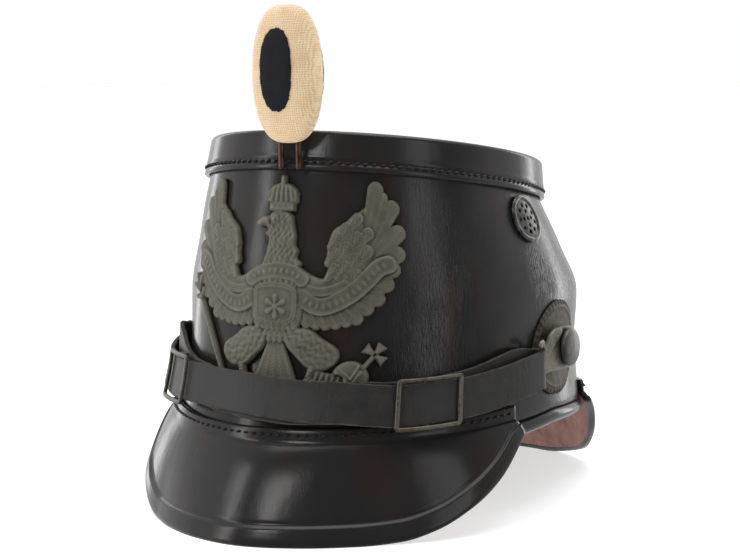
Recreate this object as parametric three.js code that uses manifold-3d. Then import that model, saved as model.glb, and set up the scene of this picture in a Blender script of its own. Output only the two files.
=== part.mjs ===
// A light-infantry shako of black lacquered leather, in millimetres, +Z up.
// The hat's front faces -Y, its left side is +X, and it rests on both peaks at Z = 0.
import * as THREE from 'three';
import { mergeVertices } from 'three/addons/utils/BufferGeometryUtils.js';
import Module from 'manifold-3d';

const wasm = await Module();
wasm.setup();

// Driving dimensions of the body, measured at the stitch line of the peaks and at the crown
const footLength = 195.4;
const footWidth = 166.4;
const crownLength = 152.0;
const crownWidth = 138.8;
const footHeight = 43.9;
const bodyHeight = 88.1;
const footTilt = 3.55;
const crownTilt = -10.1;
const rearDrop = 23.3;
const bodyWall = 2.4;
const clearance = 0.4;
const footLip = 2.4;
const rearFade = 0.25;

// Crown cap
const capHeight = 15.9;
const capTaper = 2.0;
const capLeather = 2.0;
const capRounding = 1.8;

// Rolled edge round the foot
const rollRadius = 3.0;
const rollInset = 1.5;

// Peaks
const peakLeather = 2.6;
const flangeLeather = 2.0;
const flangeHeight = 5.0;
const flangeGap = 0.55;
const frontPeakReach = 23.9;
const frontPeakHalfAngle = 69.5;
const rearPeakReach = 9.5;
const rearPeakStart = 115.5;
const borderWidth = 5.0;
const borderRise = 1.0;
const frontPeakBend = { out: 0.41, down: 0.18 };
const rearPeakBend = { out: 0.68, down: 0.3 };

// Chin strap and its slider buckles
const strapRise = 10.2;
const strapWidth = 16.6;
const strapLeather = 1.9;
const strapFoldAngle = 76.0;
const buckleLength = 24.8;
const buckleBar = 1.7;
const buckleThickness = 1.6;
const rightBuckleAngle = 41.8;
const leftBuckleAngle = -38.0;

// Side posts, cockades and strap end fittings
const postAngle = 89.5;
const postStemRadius = 4.0;
const postCapRadius = 7.85;
const postStandoff = 6.2;
const postCapRise = 3.3;
const cockadeRadius = 19.6;
const cockadeThickness = 1.3;
const cockadeLift = 5.6;
const fittingThickness = 1.6;
const eyeSlack = 1.0;

// Side vents
const ventAngle = 84.0;
const ventDrop = 1.3;
const ventRadius = 9.9;
const ventThickness = 1.6;
const ventBore = 7.0;

// Heraldic badge
const badgeTopGap = 3.25;
const badgePlate = 1.2;
const badgeGap = 0.6;
const featherRise = 0.7;
const badgeArcRadius = 81.0;

// Field badge
const fieldBadgeHeight = 55.0;
const fieldBadgeWidth = 29.0;
const fieldBadgeDepth = 20.0;
const fieldBadgeOverlap = 5.0;
const fieldBadgeShift = 3.4;
const fieldBadgeStandoff = 6.8;
const clothPatchWidth = 14.0;
const clothPatchHeight = 33.0;
const backPatchWidth = 25.0;
const backPatchHeight = 36.0;
const clothThickness = 0.7;
const prongRadius = 1.2;
const prongSpacing = 8.0;

// Places that follow from the sizes above
const rollTop = footHeight - footLip - clearance;
const postHeight = rollTop + cockadeRadius + cockadeLift;
const ventHeight = footHeight + bodyHeight - ventRadius - ventDrop;
const strapHeight = footHeight + strapRise;
const badgeFoot = footHeight + 1.8;

const AROUND = 52;
const radians = THREE.MathUtils.degToRad;

// Sections of the body from the peaks' stitch line to the crown band, as shares:
// length and width run from the foot's size (0) to the crown's (1), back is a share of the foot's length.
const bodySections = [
  { up: 0.0, length: 0.0, width: 0.0, back: 0.0 },
  { up: 0.25, length: 0.19, width: 0.19, back: 0.0205 },
  { up: 0.5, length: 0.23, width: 0.145, back: 0.0322 },
  { up: 0.75, length: 0.585, width: 0.53, back: 0.0133 },
  { up: 1.0, length: 1.0, width: 1.0, back: -0.0107 },
];

// Edge of the front peak: angle as a share of its half angle, reach as a share of the peak's reach,
// height as a share of the stitch line's height above the ground.
const frontPeakEdge = [
  { at: 0, reach: 1, height: 0 },
  { at: 0.17, reach: 0.9, height: 0 },
  { at: 0.35, reach: 0.74, height: 0 },
  { at: 0.48, reach: 0.65, height: 0.02 },
  { at: 0.6, reach: 0.625, height: 0.115 },
  { at: 0.72, reach: 0.585, height: 0.29 },
  { at: 0.84, reach: 0.455, height: 0.505 },
  { at: 0.95, reach: 0.28, height: 0.76 },
  { at: 1, reach: 0.195, height: 0.875 },
];

// Edge of the rear peak, in the same shares, from its middle (0) to its end (1).
const rearPeakEdge = [
  { at: 0.0, reach: 1.0, height: 0.0 },
  { at: 0.3, reach: 0.99, height: 0.0 },
  { at: 0.5, reach: 0.93, height: 0.09 },
  { at: 0.6, reach: 0.86, height: 0.17 },
  { at: 0.75, reach: 0.7, height: 0.43 },
  { at: 0.9, reach: 0.45, height: 0.74 },
  { at: 1.0, reach: 0.28, height: 0.9 },
];

// Route of the chin strap: angle round the body; how far each layer's middle lies above or below
// the strap's height, in strap widths; and its distance from the body, in leather thicknesses.
const strapRoute = [
  { angle: -76, outerUp: 0.32, outerOut: 4.0, innerUp: 0.36, innerOut: 1.6 },
  { angle: -68, outerUp: 0.20, outerOut: 4.7, innerUp: 0.66, innerOut: 2.5 },
  { angle: -59, outerUp: 0.13, outerOut: 4.3, innerUp: 0.79, innerOut: 2.4 },
  { angle: -49, outerUp: 0.12, outerOut: 3.6, innerUp: 0.49, innerOut: 1.4 },
  { angle: -38, outerUp: 0.11, outerOut: 3.65, innerUp: 0.25, innerOut: 1.35 },
  { angle: -27, outerUp: 0.12, outerOut: 3.95, innerUp: 0.16, innerOut: 2.4 },
  { angle: -12, outerUp: 0.09, outerOut: 3.89, innerUp: 0.01, innerOut: 2.63 },
  { angle: 6, outerUp: -0.03, outerOut: 3.89, innerUp: -0.10, innerOut: 2.63 },
  { angle: 22, outerUp: -0.11, outerOut: 4.00, innerUp: -0.09, innerOut: 2.63 },
  { angle: 34, outerUp: -0.19, outerOut: 4.53, innerUp: -0.09, innerOut: 2.42 },
  { angle: 52, outerUp: -0.08, outerOut: 4.74, innerUp: 0.07, innerOut: 2.32 },
  { angle: 62, outerUp: 0.07, outerOut: 4.4, innerUp: 0.30, innerOut: 2.1 },
  { angle: 70, outerUp: 0.20, outerOut: 4.2, innerUp: 0.43, innerOut: 1.9 },
  { angle: 76, outerUp: 0.32, outerOut: 4.0, innerUp: 0.36, innerOut: 1.6 },
];

// A smooth curve through the rows of a table, with no overshoot between them
function smoothColumn(rows, along, column) {
  const x = rows.map((row) => row[along]);
  const y = rows.map((row) => row[column]);
  const slope = x.slice(1).map((value, i) => (y[i + 1] - y[i]) / (value - x[i]));
  const tangent = x.map((value, i) => {
    if (i === 0) return slope[0];
    if (i === x.length - 1) return slope[i - 1];
    if (slope[i - 1] * slope[i] <= 0) return 0;
    const before = x[i] - x[i - 1];
    const after = x[i + 1] - x[i];
    const w1 = 2 * after + before;
    const w2 = after + 2 * before;
    return (w1 + w2) / (w1 / slope[i - 1] + w2 / slope[i]);
  });
  return (at) => {
    const last = x.length - 1;
    if (at <= x[0]) return y[0];
    if (at >= x[last]) return y[last];
    let i = 0;
    while (at > x[i + 1]) i += 1;
    const h = x[i + 1] - x[i];
    const u = (at - x[i]) / h;
    const a = (1 + 2 * u) * (1 - u) ** 2 * y[i];
    const b = u * (1 - u) ** 2 * h * tangent[i];
    const c = u * u * (3 - 2 * u) * y[i + 1];
    const d = u * u * (u - 1) * h * tangent[i + 1];
    return a + b + c + d;
  };
}

const lengthShare = smoothColumn(bodySections, 'up', 'length');
const widthShare = smoothColumn(bodySections, 'up', 'width');
const backShare = smoothColumn(bodySections, 'up', 'back');

// How far the foot falls below the front's stitch line on its way to the back
function footDrop(angle) {
  const turned = Math.abs(THREE.MathUtils.euclideanModulo(angle + Math.PI, 2 * Math.PI) - Math.PI);
  const share = THREE.MathUtils.clamp((turned - radians(88)) / radians(92), 0, 1);
  return rearDrop * share ** 1.15;
}

// Point of the body's outer face at an angle from the front (towards +X) and a share of its height,
// moved out along the section's normal and lifted square to the section.
function bodyPoint(angle, up, out = 0, lift = 0) {
  const a = THREE.MathUtils.lerp(footLength, crownLength, lengthShare(up)) / 2;
  const b = THREE.MathUtils.lerp(footWidth, crownWidth, widthShare(up)) / 2;
  const tilt = radians(THREE.MathUtils.lerp(footTilt, crownTilt, up));
  const c = Math.cos(angle);
  const s = Math.sin(angle);
  const normal = new THREE.Vector2(s / b, -c / a).normalize();
  const x = b * s + normal.x * out;
  const y = -a * c + normal.y * out;
  const rise = lift - footDrop(angle) * Math.max(0, 1 - up / rearFade);
  return new THREE.Vector3(
    x,
    backShare(up) * footLength + y * Math.cos(tilt) - rise * Math.sin(tilt),
    footHeight + bodyHeight * up + y * Math.sin(tilt) + rise * Math.cos(tilt),
  );
}

// The same face found by angle and height above the ground, moved out along its smoothed normal
function onBody(angle, height, out) {
  let low = 0;
  let high = 1;
  for (let i = 0; i < 30; i += 1) {
    const middle = (low + high) / 2;
    if (bodyPoint(angle, middle).z < height) low = middle;
    else high = middle;
  }
  const reach = 0.1;
  const up = THREE.MathUtils.clamp((low + high) / 2, reach, 1 - reach);
  const point = bodyPoint(angle, (low + high) / 2);
  point.z = height;
  const across = bodyPoint(angle + 0.01, up).sub(bodyPoint(angle - 0.01, up));
  const along = bodyPoint(angle, up + reach).sub(bodyPoint(angle, up - reach));
  return point.addScaledVector(across.cross(along).normalize(), out);
}

// Closed mesh from rings of points: open chains are capped with a fan, closed chains meet themselves
function meshFromRings(rings, { ringClosed = true, chainClosed = false, capFan = false } = {}) {
  const n = rings[0].length;
  const positions = rings.flat().flatMap((p) => [p.x, p.y, p.z]);
  const faces = [];
  const chain = chainClosed ? rings.length : rings.length - 1;
  const steps = ringClosed ? n : n - 1;
  for (let i = 0; i < chain; i += 1) {
    const next = (i + 1) % rings.length;
    for (let j = 0; j < steps; j += 1) {
      const k = (j + 1) % n;
      faces.push(i * n + j, i * n + k, next * n + k);
      faces.push(i * n + j, next * n + k, next * n + j);
    }
  }
  if (capFan) {
    [[0, -1], [rings.length - 1, 1]].forEach(([ring, side]) => {
      const centre = rings[ring].reduce((sum, p) => sum.add(p), new THREE.Vector3()).divideScalar(n);
      const index = positions.length / 3;
      positions.push(centre.x, centre.y, centre.z);
      for (let j = 0; j < n; j += 1) {
        const k = (j + 1) % n;
        if (side > 0) faces.push(ring * n + j, ring * n + k, index);
        else faces.push(ring * n + k, ring * n + j, index);
      }
    });
  }
  return closedGeometry(positions, faces);
}

// A geometry with its faces turned outwards
function closedGeometry(positions, faces) {
  let volume = 0;
  const point = (i) => new THREE.Vector3().fromArray(positions, 3 * i);
  for (let i = 0; i < faces.length; i += 3) {
    const [a, b, c] = [point(faces[i]), point(faces[i + 1]), point(faces[i + 2])];
    volume += a.dot(b.cross(c));
  }
  const outward = volume > 0 ? faces : faces.slice().reverse();
  const geometry = new THREE.BufferGeometry();
  geometry.setAttribute('position', new THREE.Float32BufferAttribute(positions, 3));
  geometry.setIndex(outward);
  geometry.computeVertexNormals();
  return geometry;
}

// A strip of sections, each a closed outline of points, closed at both ends by its own triangles
function meshFromStrip(sections, flatOutlines) {
  const n = sections[0].length;
  const positions = sections.flat().flatMap((p) => [p.x, p.y, p.z]);
  const faces = [];
  for (let i = 0; i < sections.length - 1; i += 1) {
    for (let j = 0; j < n; j += 1) {
      const k = (j + 1) % n;
      faces.push(i * n + j, i * n + k, (i + 1) * n + k);
      faces.push(i * n + j, (i + 1) * n + k, (i + 1) * n + j);
    }
  }
  [[0, flatOutlines[0]], [sections.length - 1, flatOutlines[1]]].forEach(([row, outline]) => {
    THREE.ShapeUtils.triangulateShape(outline, []).forEach((triangle) => {
      const corners = triangle.map((index) => outline[index]);
      const follows = THREE.ShapeUtils.area(corners) * THREE.ShapeUtils.area(outline) > 0;
      const [a, b, c] = follows === (row > 0) ? triangle : triangle.slice().reverse();
      faces.push(row * n + a, row * n + b, row * n + c);
    });
  });
  return closedGeometry(positions, faces);
}

function solidOf(geometry) {
  const bare = geometry.clone();
  Object.keys(bare.attributes).forEach((name) => {
    if (name !== 'position') bare.deleteAttribute(name);
  });
  const merged = mergeVertices(bare, 1e-4);
  return new wasm.Manifold(new wasm.Mesh({
    numProp: 3,
    vertProperties: new Float32Array(merged.attributes.position.array),
    triVerts: new Uint32Array(merged.index.array),
  }));
}

function geometryOf(solid) {
  const mesh = solid.getMesh();
  const geometry = new THREE.BufferGeometry();
  geometry.setAttribute('position', new THREE.BufferAttribute(Float32Array.from(mesh.vertProperties), 3));
  geometry.setIndex(Array.from(mesh.triVerts));
  geometry.computeVertexNormals();
  return geometry;
}

// Every edge longer than the limit is halved on both of its faces, until none is left
function splitLongEdges(geometry, limit) {
  const merged = mergeVertices(geometryOf(solidOf(geometry)), 1e-4);
  const positions = Array.from(merged.attributes.position.array);
  let faces = Array.from(merged.index.array);
  const point = (i) => new THREE.Vector3().fromArray(positions, 3 * i);
  let again = true;
  while (again) {
    again = false;
    const middles = new Map();
    const middleOf = (a, b) => {
      const key = a < b ? `${a} ${b}` : `${b} ${a}`;
      if (middles.has(key)) return middles.get(key);
      const pa = point(a);
      const pb = point(b);
      let index = -1;
      if (pa.distanceTo(pb) > limit) {
        index = positions.length / 3;
        const middle = pa.add(pb).divideScalar(2);
        positions.push(middle.x, middle.y, middle.z);
        again = true;
      }
      middles.set(key, index);
      return index;
    };
    const next = [];
    for (let i = 0; i < faces.length; i += 3) {
      const corner = faces.slice(i, i + 3);
      const middle = corner.map((a, k) => middleOf(a, corner[(k + 1) % 3]));
      const start = middle.findIndex((m, k) => m >= 0 && middle[(k + 2) % 3] < 0);
      const turn = start < 0 ? 0 : start;
      const [a, b, c] = [0, 1, 2].map((k) => corner[(k + turn) % 3]);
      const [ab, bc, ca] = [0, 1, 2].map((k) => middle[(k + turn) % 3]);
      if (ab < 0) next.push(a, b, c);
      else if (bc < 0) next.push(a, ab, c, ab, b, c);
      else if (ca < 0) next.push(a, ab, c, ab, b, bc, ab, bc, c);
      else next.push(a, ab, ca, ab, b, bc, bc, c, ca, ab, bc, ca);
    }
    faces = next;
  }
  return closedGeometry(positions, faces);
}

// A flat piece, drawn with X along the body, Y upwards and Z outwards, bent on to the body
function bendOnBody(geometry, angle, height, arcRadius, standoff = () => 0) {
  const positions = geometry.attributes.position;
  for (let i = 0; i < positions.count; i += 1) {
    const at = angle + positions.getX(i) / arcRadius;
    const up = height + positions.getY(i);
    const placed = onBody(at, up, positions.getZ(i) + standoff(at));
    positions.setXYZ(i, placed.x, placed.y, placed.z);
  }
  geometry.computeVertexNormals();
  return geometry;
}

function arcRadiusAt(angle, height) {
  const step = 0.01;
  return onBody(angle + step, height, 0).distanceTo(onBody(angle - step, height, 0)) / (2 * step);
}

function plateOf(points, from, to, holes = []) {
  const shape = new THREE.Shape(points);
  holes.forEach((hole) => shape.holes.push(new THREE.Path(hole)));
  const geometry = new THREE.ExtrudeGeometry(shape, { depth: to - from, bevelEnabled: false });
  return geometry.translate(0, 0, from);
}

function circlePoints(x, y, radius, count, turn = 0) {
  return Array.from({ length: count }, (_, i) => {
    const angle = turn + (2 * Math.PI * i) / count;
    return new THREE.Vector2(x + radius * Math.cos(angle), y + radius * Math.sin(angle));
  });
}

function boxPoints(left, right, bottom, top) {
  return [[left, bottom], [right, bottom], [right, top], [left, top]].map((p) => new THREE.Vector2(...p));
}

const material = (color, roughness, metalness) => new THREE.MeshStandardMaterial({ color, roughness, metalness });
const lacqueredLeather = material(0x14110f, 0.32, 0);
const strapLeatherLook = material(0x1d1a18, 0.5, 0);
const greySteel = material(0x5d594c, 0.45, 0.9);
const darkSteel = material(0x3a3733, 0.5, 0.8);
const blackMetal = material(0x17161a, 0.4, 0.5);
const creamCloth = material(0xd9b987, 0.95, 0);
const blackCloth = material(0x121317, 0.95, 0);
const wireCopper = material(0x5a3023, 0.45, 0.7);
const cockadeBrown = material(0x4b4340, 0.6, 0.4);

const group = new THREE.Group();
function addPiece(name, geometry, look) {
  const mesh = new THREE.Mesh(geometry, look);
  mesh.name = name;
  group.add(mesh);
}

const ringAngles = Array.from({ length: AROUND }, (_, i) => (2 * Math.PI * i) / AROUND);

// Body shell, open below, with its upper edge inside the cap
const capInnerHeight = capHeight - capLeather - clearance;
function bodyRows(heights) {
  return [
    { up: 0, lift: -footLip, inward: 0 },
    ...heights.map((up) => ({ up, lift: 0, inward: 0 })),
    { up: 1, lift: capInnerHeight, inward: (capTaper * capInnerHeight) / capHeight },
  ];
}
function bodyRing(row, out) {
  return ringAngles.map((angle) => bodyPoint(angle, row.up, out - row.inward, row.lift));
}
const bodyRings = [
  ...bodyRows([0, 0.09, 0.18, 0.28, 0.4, 0.54, 0.68, 0.82, 1]).map((row) => bodyRing(row, 0)),
  ...bodyRows([0, 0.28, 0.66, 1]).reverse().map((row) => bodyRing(row, -bodyWall)),
];
const ventArc = arcRadiusAt(radians(ventAngle), ventHeight);
const sideSigns = [{ side: 'left', sign: 1 }, { side: 'right', sign: -1 }];
let bodySolid = solidOf(meshFromRings(bodyRings, { chainClosed: true }));
sideSigns.forEach(({ sign }) => {
  const hole = plateOf(circlePoints(0, 0, ventBore, 16), -bodyWall - 3, 3);
  bendOnBody(hole, sign * radians(ventAngle), ventHeight, ventArc);
  bodySolid = bodySolid.subtract(solidOf(hole));
});
addPiece('body_shell', geometryOf(bodySolid), lacqueredLeather);

// Crown cap: flat disc and turned-down band in one piece of leather
function capRing(out, lift) {
  return ringAngles.map((angle) => bodyPoint(angle, 1, out - (capTaper * lift) / capHeight, lift));
}
const bandOut = clearance + capLeather;
const capRings = [
  capRing(bandOut - capRounding, capHeight),
  capRing(bandOut - 0.3 * capRounding, capHeight - 0.3 * capRounding),
  capRing(bandOut, capHeight - capRounding),
  capRing(bandOut, 0),
  capRing(clearance, 0),
  capRing(clearance, capHeight - capLeather),
];
addPiece('top_cap', meshFromRings(capRings, { capFan: true }), lacqueredLeather);

// Rolled edge round the foot
const rollRings = Array.from({ length: 6 }, (_, i) => {
  const turn = (2 * Math.PI * i) / 6 + Math.PI / 6;
  const lift = -footLip - clearance - rollRadius * (1 + Math.sin(turn));
  const out = -rollInset + rollRadius * Math.cos(turn);
  return ringAngles.map((angle) => bodyPoint(angle, 0, out, lift));
});
addPiece('base_roll', meshFromRings(rollRings, { chainClosed: true }), lacqueredLeather);

// Outline of a peak's section: the upright flange, the curved blade and its raised border
function peakSection(reach, drop, bend) {
  const start = new THREE.Vector2(flangeGap + flangeLeather, 0);
  const blade = new THREE.QuadraticBezierCurve(
    start,
    new THREE.Vector2(start.x + bend.out * reach, -bend.down * drop),
    new THREE.Vector2(start.x + reach, -drop),
  );
  const border = Math.min(borderWidth / Math.hypot(reach, drop), 0.4);
  const rise = borderRise * Math.min(1, drop / 10);
  const stops = [0, 0.25, 0.5, 1 - 1.3 * border, 1 - border, 1 - 0.4 * border, 1];
  const lifts = [0, 0, 0, 0, rise, rise, 0.2 * rise];
  const face = stops.map((stop, i) => {
    const tangent = blade.getTangent(stop);
    return blade.getPoint(stop).add(new THREE.Vector2(-tangent.y, tangent.x).multiplyScalar(lifts[i]));
  });
  const under = [0.25, 0.6, 1].map((stop) => {
    const tangent = blade.getTangent(stop);
    return blade.getPoint(stop).add(new THREE.Vector2(tangent.y, -tangent.x).multiplyScalar(peakLeather));
  });
  under[2].y = Math.max(under[2].y, -drop);
  return [
    new THREE.Vector2(flangeGap, flangeHeight),
    new THREE.Vector2(start.x - 0.6, flangeHeight),
    new THREE.Vector2(start.x, flangeHeight - 0.8),
    ...face,
    ...under.reverse(),
    new THREE.Vector2(flangeGap, -1.2),
  ];
}

function peakStrip(edge, middle, halfAngle, reachSize, bend, steps) {
  // One row mirrored to the other half, so that the edge runs on without a crease in the middle
  const rows = [{ ...edge[1], at: -edge[1].at }, ...edge];
  const reachShare = smoothColumn(rows, 'at', 'reach');
  const heightShare = smoothColumn(rows, 'at', 'height');
  const outlines = [];
  const sections = [];
  for (let i = 0; i <= steps; i += 1) {
    const share = (2 * i) / steps - 1;
    const angle = middle + share * halfAngle;
    const stitch = bodyPoint(angle, 0).z;
    const reach = reachSize * reachShare(Math.abs(share));
    const drop = stitch * (1 - heightShare(Math.abs(share)));
    const outline = peakSection(reach, drop, bend);
    outlines.push(outline);
    sections.push(outline.map((p) => {
      if (p.y > 0) return onBody(angle, stitch + p.y, p.x);
      const level = bodyPoint(angle, 0, p.x);
      return bodyPoint(angle, 0, p.x, (stitch + p.y - level.z) / Math.cos(radians(footTilt)));
    }));
  }
  return meshFromStrip(sections, [outlines[0], outlines[steps]]);
}
addPiece(
  'front_peak',
  peakStrip(frontPeakEdge, 0, radians(frontPeakHalfAngle), frontPeakReach, frontPeakBend, 24),
  lacqueredLeather,
);
addPiece(
  'rear_peak',
  peakStrip(rearPeakEdge, Math.PI, radians(180 - rearPeakStart), rearPeakReach, rearPeakBend, 20),
  lacqueredLeather,
);

// Chin strap: one doubled band whose folds lie in the two end fittings
function strapColumn(column, size, from) {
  const share = smoothColumn(strapRoute, 'angle', column);
  return (angle) => from + size * share(angle);
}
const outerUp = strapColumn('outerUp', strapWidth, strapHeight);
const outerOut = strapColumn('outerOut', strapLeather, 0);
const innerUp = strapColumn('innerUp', strapWidth, strapHeight);
const innerOut = strapColumn('innerOut', strapLeather, 0);
const foldRise = (outerOut(strapFoldAngle) - innerOut(strapFoldAngle)) / 2;
function strapStations() {
  const stations = [];
  const steps = 30;
  for (let i = 0; i <= steps; i += 1) {
    const angle = THREE.MathUtils.lerp(-strapFoldAngle, strapFoldAngle, i / steps);
    stations.push({ angle: radians(angle), up: outerUp(angle), out: outerOut(angle), lean: 0 });
  }
  stations.push(...foldStations(1));
  for (let i = steps; i >= 0; i -= 1) {
    const angle = THREE.MathUtils.lerp(-strapFoldAngle, strapFoldAngle, i / steps);
    stations.push({ angle: radians(angle), up: innerUp(angle), out: innerOut(angle), lean: Math.PI });
  }
  stations.push(...foldStations(-1));
  return stations;
}
function foldStations(sign) {
  const from = sign > 0 ? outerOut(strapFoldAngle) : innerOut(-strapFoldAngle);
  const to = sign > 0 ? innerOut(strapFoldAngle) : outerOut(-strapFoldAngle);
  const upFrom = sign > 0 ? outerUp(strapFoldAngle) : innerUp(-strapFoldAngle);
  const upTo = sign > 0 ? innerUp(strapFoldAngle) : outerUp(-strapFoldAngle);
  return [0.2, 0.4, 0.6, 0.8].map((share) => {
    const turn = Math.PI * share;
    const reach = (foldRise * Math.sin(turn)) / (footWidth / 2);
    return {
      angle: sign * (radians(strapFoldAngle) + reach),
      up: THREE.MathUtils.lerp(upFrom, upTo, share),
      out: THREE.MathUtils.lerp(from, to, (1 - Math.cos(turn)) / 2),
      lean: sign > 0 ? turn : Math.PI + turn,
    };
  });
}
const strapSections = strapStations().map(({ angle, up, out, lean }) => {
  const half = strapLeather / 2;
  const along = (half * Math.sin(lean)) / (footWidth / 2);
  const corner = (side, edge) => onBody(
    angle + side * along,
    up + (edge * strapWidth) / 2,
    out + side * half * Math.cos(lean),
  );
  return [corner(1, -1), corner(1, 0), corner(1, 1), corner(-1, 1), corner(-1, 0), corner(-1, -1)];
});
addPiece('chin_strap', meshFromRings(strapSections, { chainClosed: true }), strapLeatherLook);

// Slider buckles: a flat frame over the strap, with its middle bar behind the outer layer
const buckleInner = strapWidth / 2 + clearance + 0.1;
const buckleOuter = buckleInner + buckleBar;
function buckle(angleDegrees) {
  const frameFrom = strapLeather / 2 + clearance;
  const frameTo = frameFrom + buckleThickness;
  const half = buckleLength / 2;
  const frame = solidOf(plateOf(
    boxPoints(-half, half, -buckleOuter, buckleOuter),
    frameFrom,
    frameTo,
    [boxPoints(-half + buckleBar, half - buckleBar, -buckleInner, buckleInner)],
  ));
  const barFrom = -strapLeather / 2 - clearance - 1.3;
  const barTo = -strapLeather / 2 - clearance;
  const bar = solidOf(plateOf(boxPoints(-1.2, 1.2, -buckleOuter, buckleOuter), barFrom, barTo));
  const legs = [-1, 1].map((edge) => {
    const rows = [edge * buckleInner, edge * buckleOuter].sort((a, b) => a - b);
    return solidOf(plateOf(boxPoints(-1.2, 1.2, rows[0], rows[1]), barFrom, frameTo));
  });
  const solid = frame.add(bar).add(legs[0]).add(legs[1]);
  const geometry = splitLongEdges(geometryOf(solid), 10);
  const angle = radians(angleDegrees);
  const arc = arcRadiusAt(angle, outerUp(angleDegrees));
  const positions = geometry.attributes.position;
  for (let i = 0; i < positions.count; i += 1) {
    const at = angle + positions.getX(i) / arc;
    const degrees = THREE.MathUtils.radToDeg(at);
    const up = outerUp(degrees) + positions.getY(i);
    const placed = onBody(at, up, outerOut(degrees) + positions.getZ(i));
    positions.setXYZ(i, placed.x, placed.y, placed.z);
  }
  geometry.computeVertexNormals();
  return geometry;
}
addPiece('buckle_left', buckle(rightBuckleAngle), darkSteel);
addPiece('buckle_right', buckle(leftBuckleAngle), darkSteel);

// Side fittings, the same on both sides: cockade disc, strap end fitting and domed post
const postRadians = radians(postAngle);
const postArc = arcRadiusAt(postRadians, postHeight);
const fittingOut = (outerOut(strapFoldAngle) + innerOut(strapFoldAngle)) / 2;
sideSigns.forEach(({ side, sign }) => {
  const stemHole = postStemRadius + clearance;
  const discProfile = [
    [stemHole, 0],
    [cockadeRadius, 0],
    [cockadeRadius, cockadeThickness],
    [cockadeRadius - 2.4, cockadeThickness],
    [cockadeRadius - 3.2, cockadeThickness - 0.5],
    [stemHole, cockadeThickness],
    [stemHole, 0],
  ].map((p) => new THREE.Vector2(...p));
  const disc = new THREE.LatheGeometry(discProfile, 18).rotateX(Math.PI / 2).translate(0, 0, clearance);
  const discMerged = splitLongEdges(disc, 16);
  addPiece(`cockade_${side}`, bendOnBody(discMerged, sign * postRadians, postHeight, postArc), cockadeBrown);

  const foldAt = (postAngle - strapFoldAngle) * radians(1) * postArc;
  const strapDrop = (outerUp(sign * strapFoldAngle) + innerUp(sign * strapFoldAngle)) / 2 - postHeight;
  const barFrom = foldAt - 0.7;
  const barTo = foldAt + 1.1;
  const slotFrom = foldAt - foldRise - strapLeather / 2 - 2 * clearance;
  const halfSlot = strapWidth / 2 + 0.8;
  const outward = (u) => -sign * u;
  const eyeHole = postStemRadius + eyeSlack;
  const eye = solidOf(plateOf(circlePoints(0, 0, eyeHole + 3.4, 20), 0, fittingThickness));
  const neckPoints = [
    [0, -4], [slotFrom, strapDrop - halfSlot], [slotFrom, strapDrop + halfSlot], [0, 6],
  ].map(([u, v]) => new THREE.Vector2(outward(u), v));
  const neck = solidOf(plateOf(neckPoints, 0, fittingThickness));
  const frameBox = (u0, u1, v0, v1) => boxPoints(
    Math.min(outward(u0), outward(u1)),
    Math.max(outward(u0), outward(u1)),
    v0,
    v1,
  );
  const frameRing = solidOf(plateOf(
    frameBox(slotFrom - 1.8, barTo, strapDrop - halfSlot - 2, strapDrop + halfSlot + 2),
    0,
    fittingThickness,
    [frameBox(slotFrom, barFrom, strapDrop - halfSlot, strapDrop + halfSlot)],
  ));
  const bore = solidOf(plateOf(circlePoints(0, 0, eyeHole, 16), -1, fittingThickness + 1));
  const plate = splitLongEdges(geometryOf(eye.add(neck).add(frameRing).subtract(bore)), 8);
  plate.translate(0, 0, fittingOut - fittingThickness / 2);
  addPiece(`strap_fitting_${side}`, bendOnBody(plate, sign * postRadians, postHeight, postArc), greySteel);

  const postProfile = [
    [0, 0],
    [postStemRadius, 0],
    [postStemRadius, postStandoff],
    [postCapRadius - 0.5, postStandoff],
    [postCapRadius, postStandoff + 0.5],
    [postCapRadius, postStandoff + 2.0],
    [postCapRadius - 1.2, postStandoff + 2.8],
    [3.5, postStandoff + postCapRise],
    [0, postStandoff + postCapRise],
  ].map((p) => new THREE.Vector2(...p));
  const post = closedFrom(new THREE.LatheGeometry(postProfile, 12));
  const foot = onBody(sign * postRadians, postHeight, clearance);
  const tip = onBody(sign * postRadians, postHeight, clearance + 10);
  const turn = new THREE.Quaternion().setFromUnitVectors(
    new THREE.Vector3(0, 1, 0),
    tip.clone().sub(foot).normalize(),
  );
  post.applyQuaternion(turn).translate(foot.x, foot.y, foot.z);
  addPiece(`side_post_${side}`, post, blackMetal);

  const holes = [circlePoints(0, 0, 0.9, 6)];
  for (let i = 0; i < 4; i += 1) {
    const angle = (2 * Math.PI * i) / 4;
    holes.push(circlePoints(2.9 * Math.cos(angle), 2.9 * Math.sin(angle), 0.85, 6));
  }
  for (let i = 0; i < 9; i += 1) {
    const angle = (2 * Math.PI * (i + 0.5)) / 9;
    holes.push(circlePoints(5.6 * Math.cos(angle), 5.6 * Math.sin(angle), 0.95, 6, angle));
  }
  const grille = solidOf(plateOf(circlePoints(0, 0, ventRadius, 18), clearance, clearance + 0.8, holes));
  const rim = solidOf(plateOf(
    circlePoints(0, 0, ventRadius, 18),
    clearance,
    clearance + ventThickness,
    [circlePoints(0, 0, ventRadius - 2.2, 18)],
  ));
  const vent = geometryOf(grille.add(rim));
  addPiece(`vent_${side}`, bendOnBody(vent, sign * radians(ventAngle), ventHeight, ventArc), blackMetal);
});

// A lathe's mesh with its seam and its axis points merged
function closedFrom(geometry) {
  return geometryOf(solidOf(geometry));
}

// Heraldic badge: a spread eagle in layers of plate, drawn flat and bent on to the front of the body.
// Its lengths are shares of the badge's height, measured from the tail's foot on its middle line.
const badgeTop = bodyPoint(0, 1, bandOut, 0).z - badgeTopGap;
const finialShare = 0.968;
const badgeHeight = (badgeTop - badgeFoot) / finialShare;
const unit = badgeHeight / 100;

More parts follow.
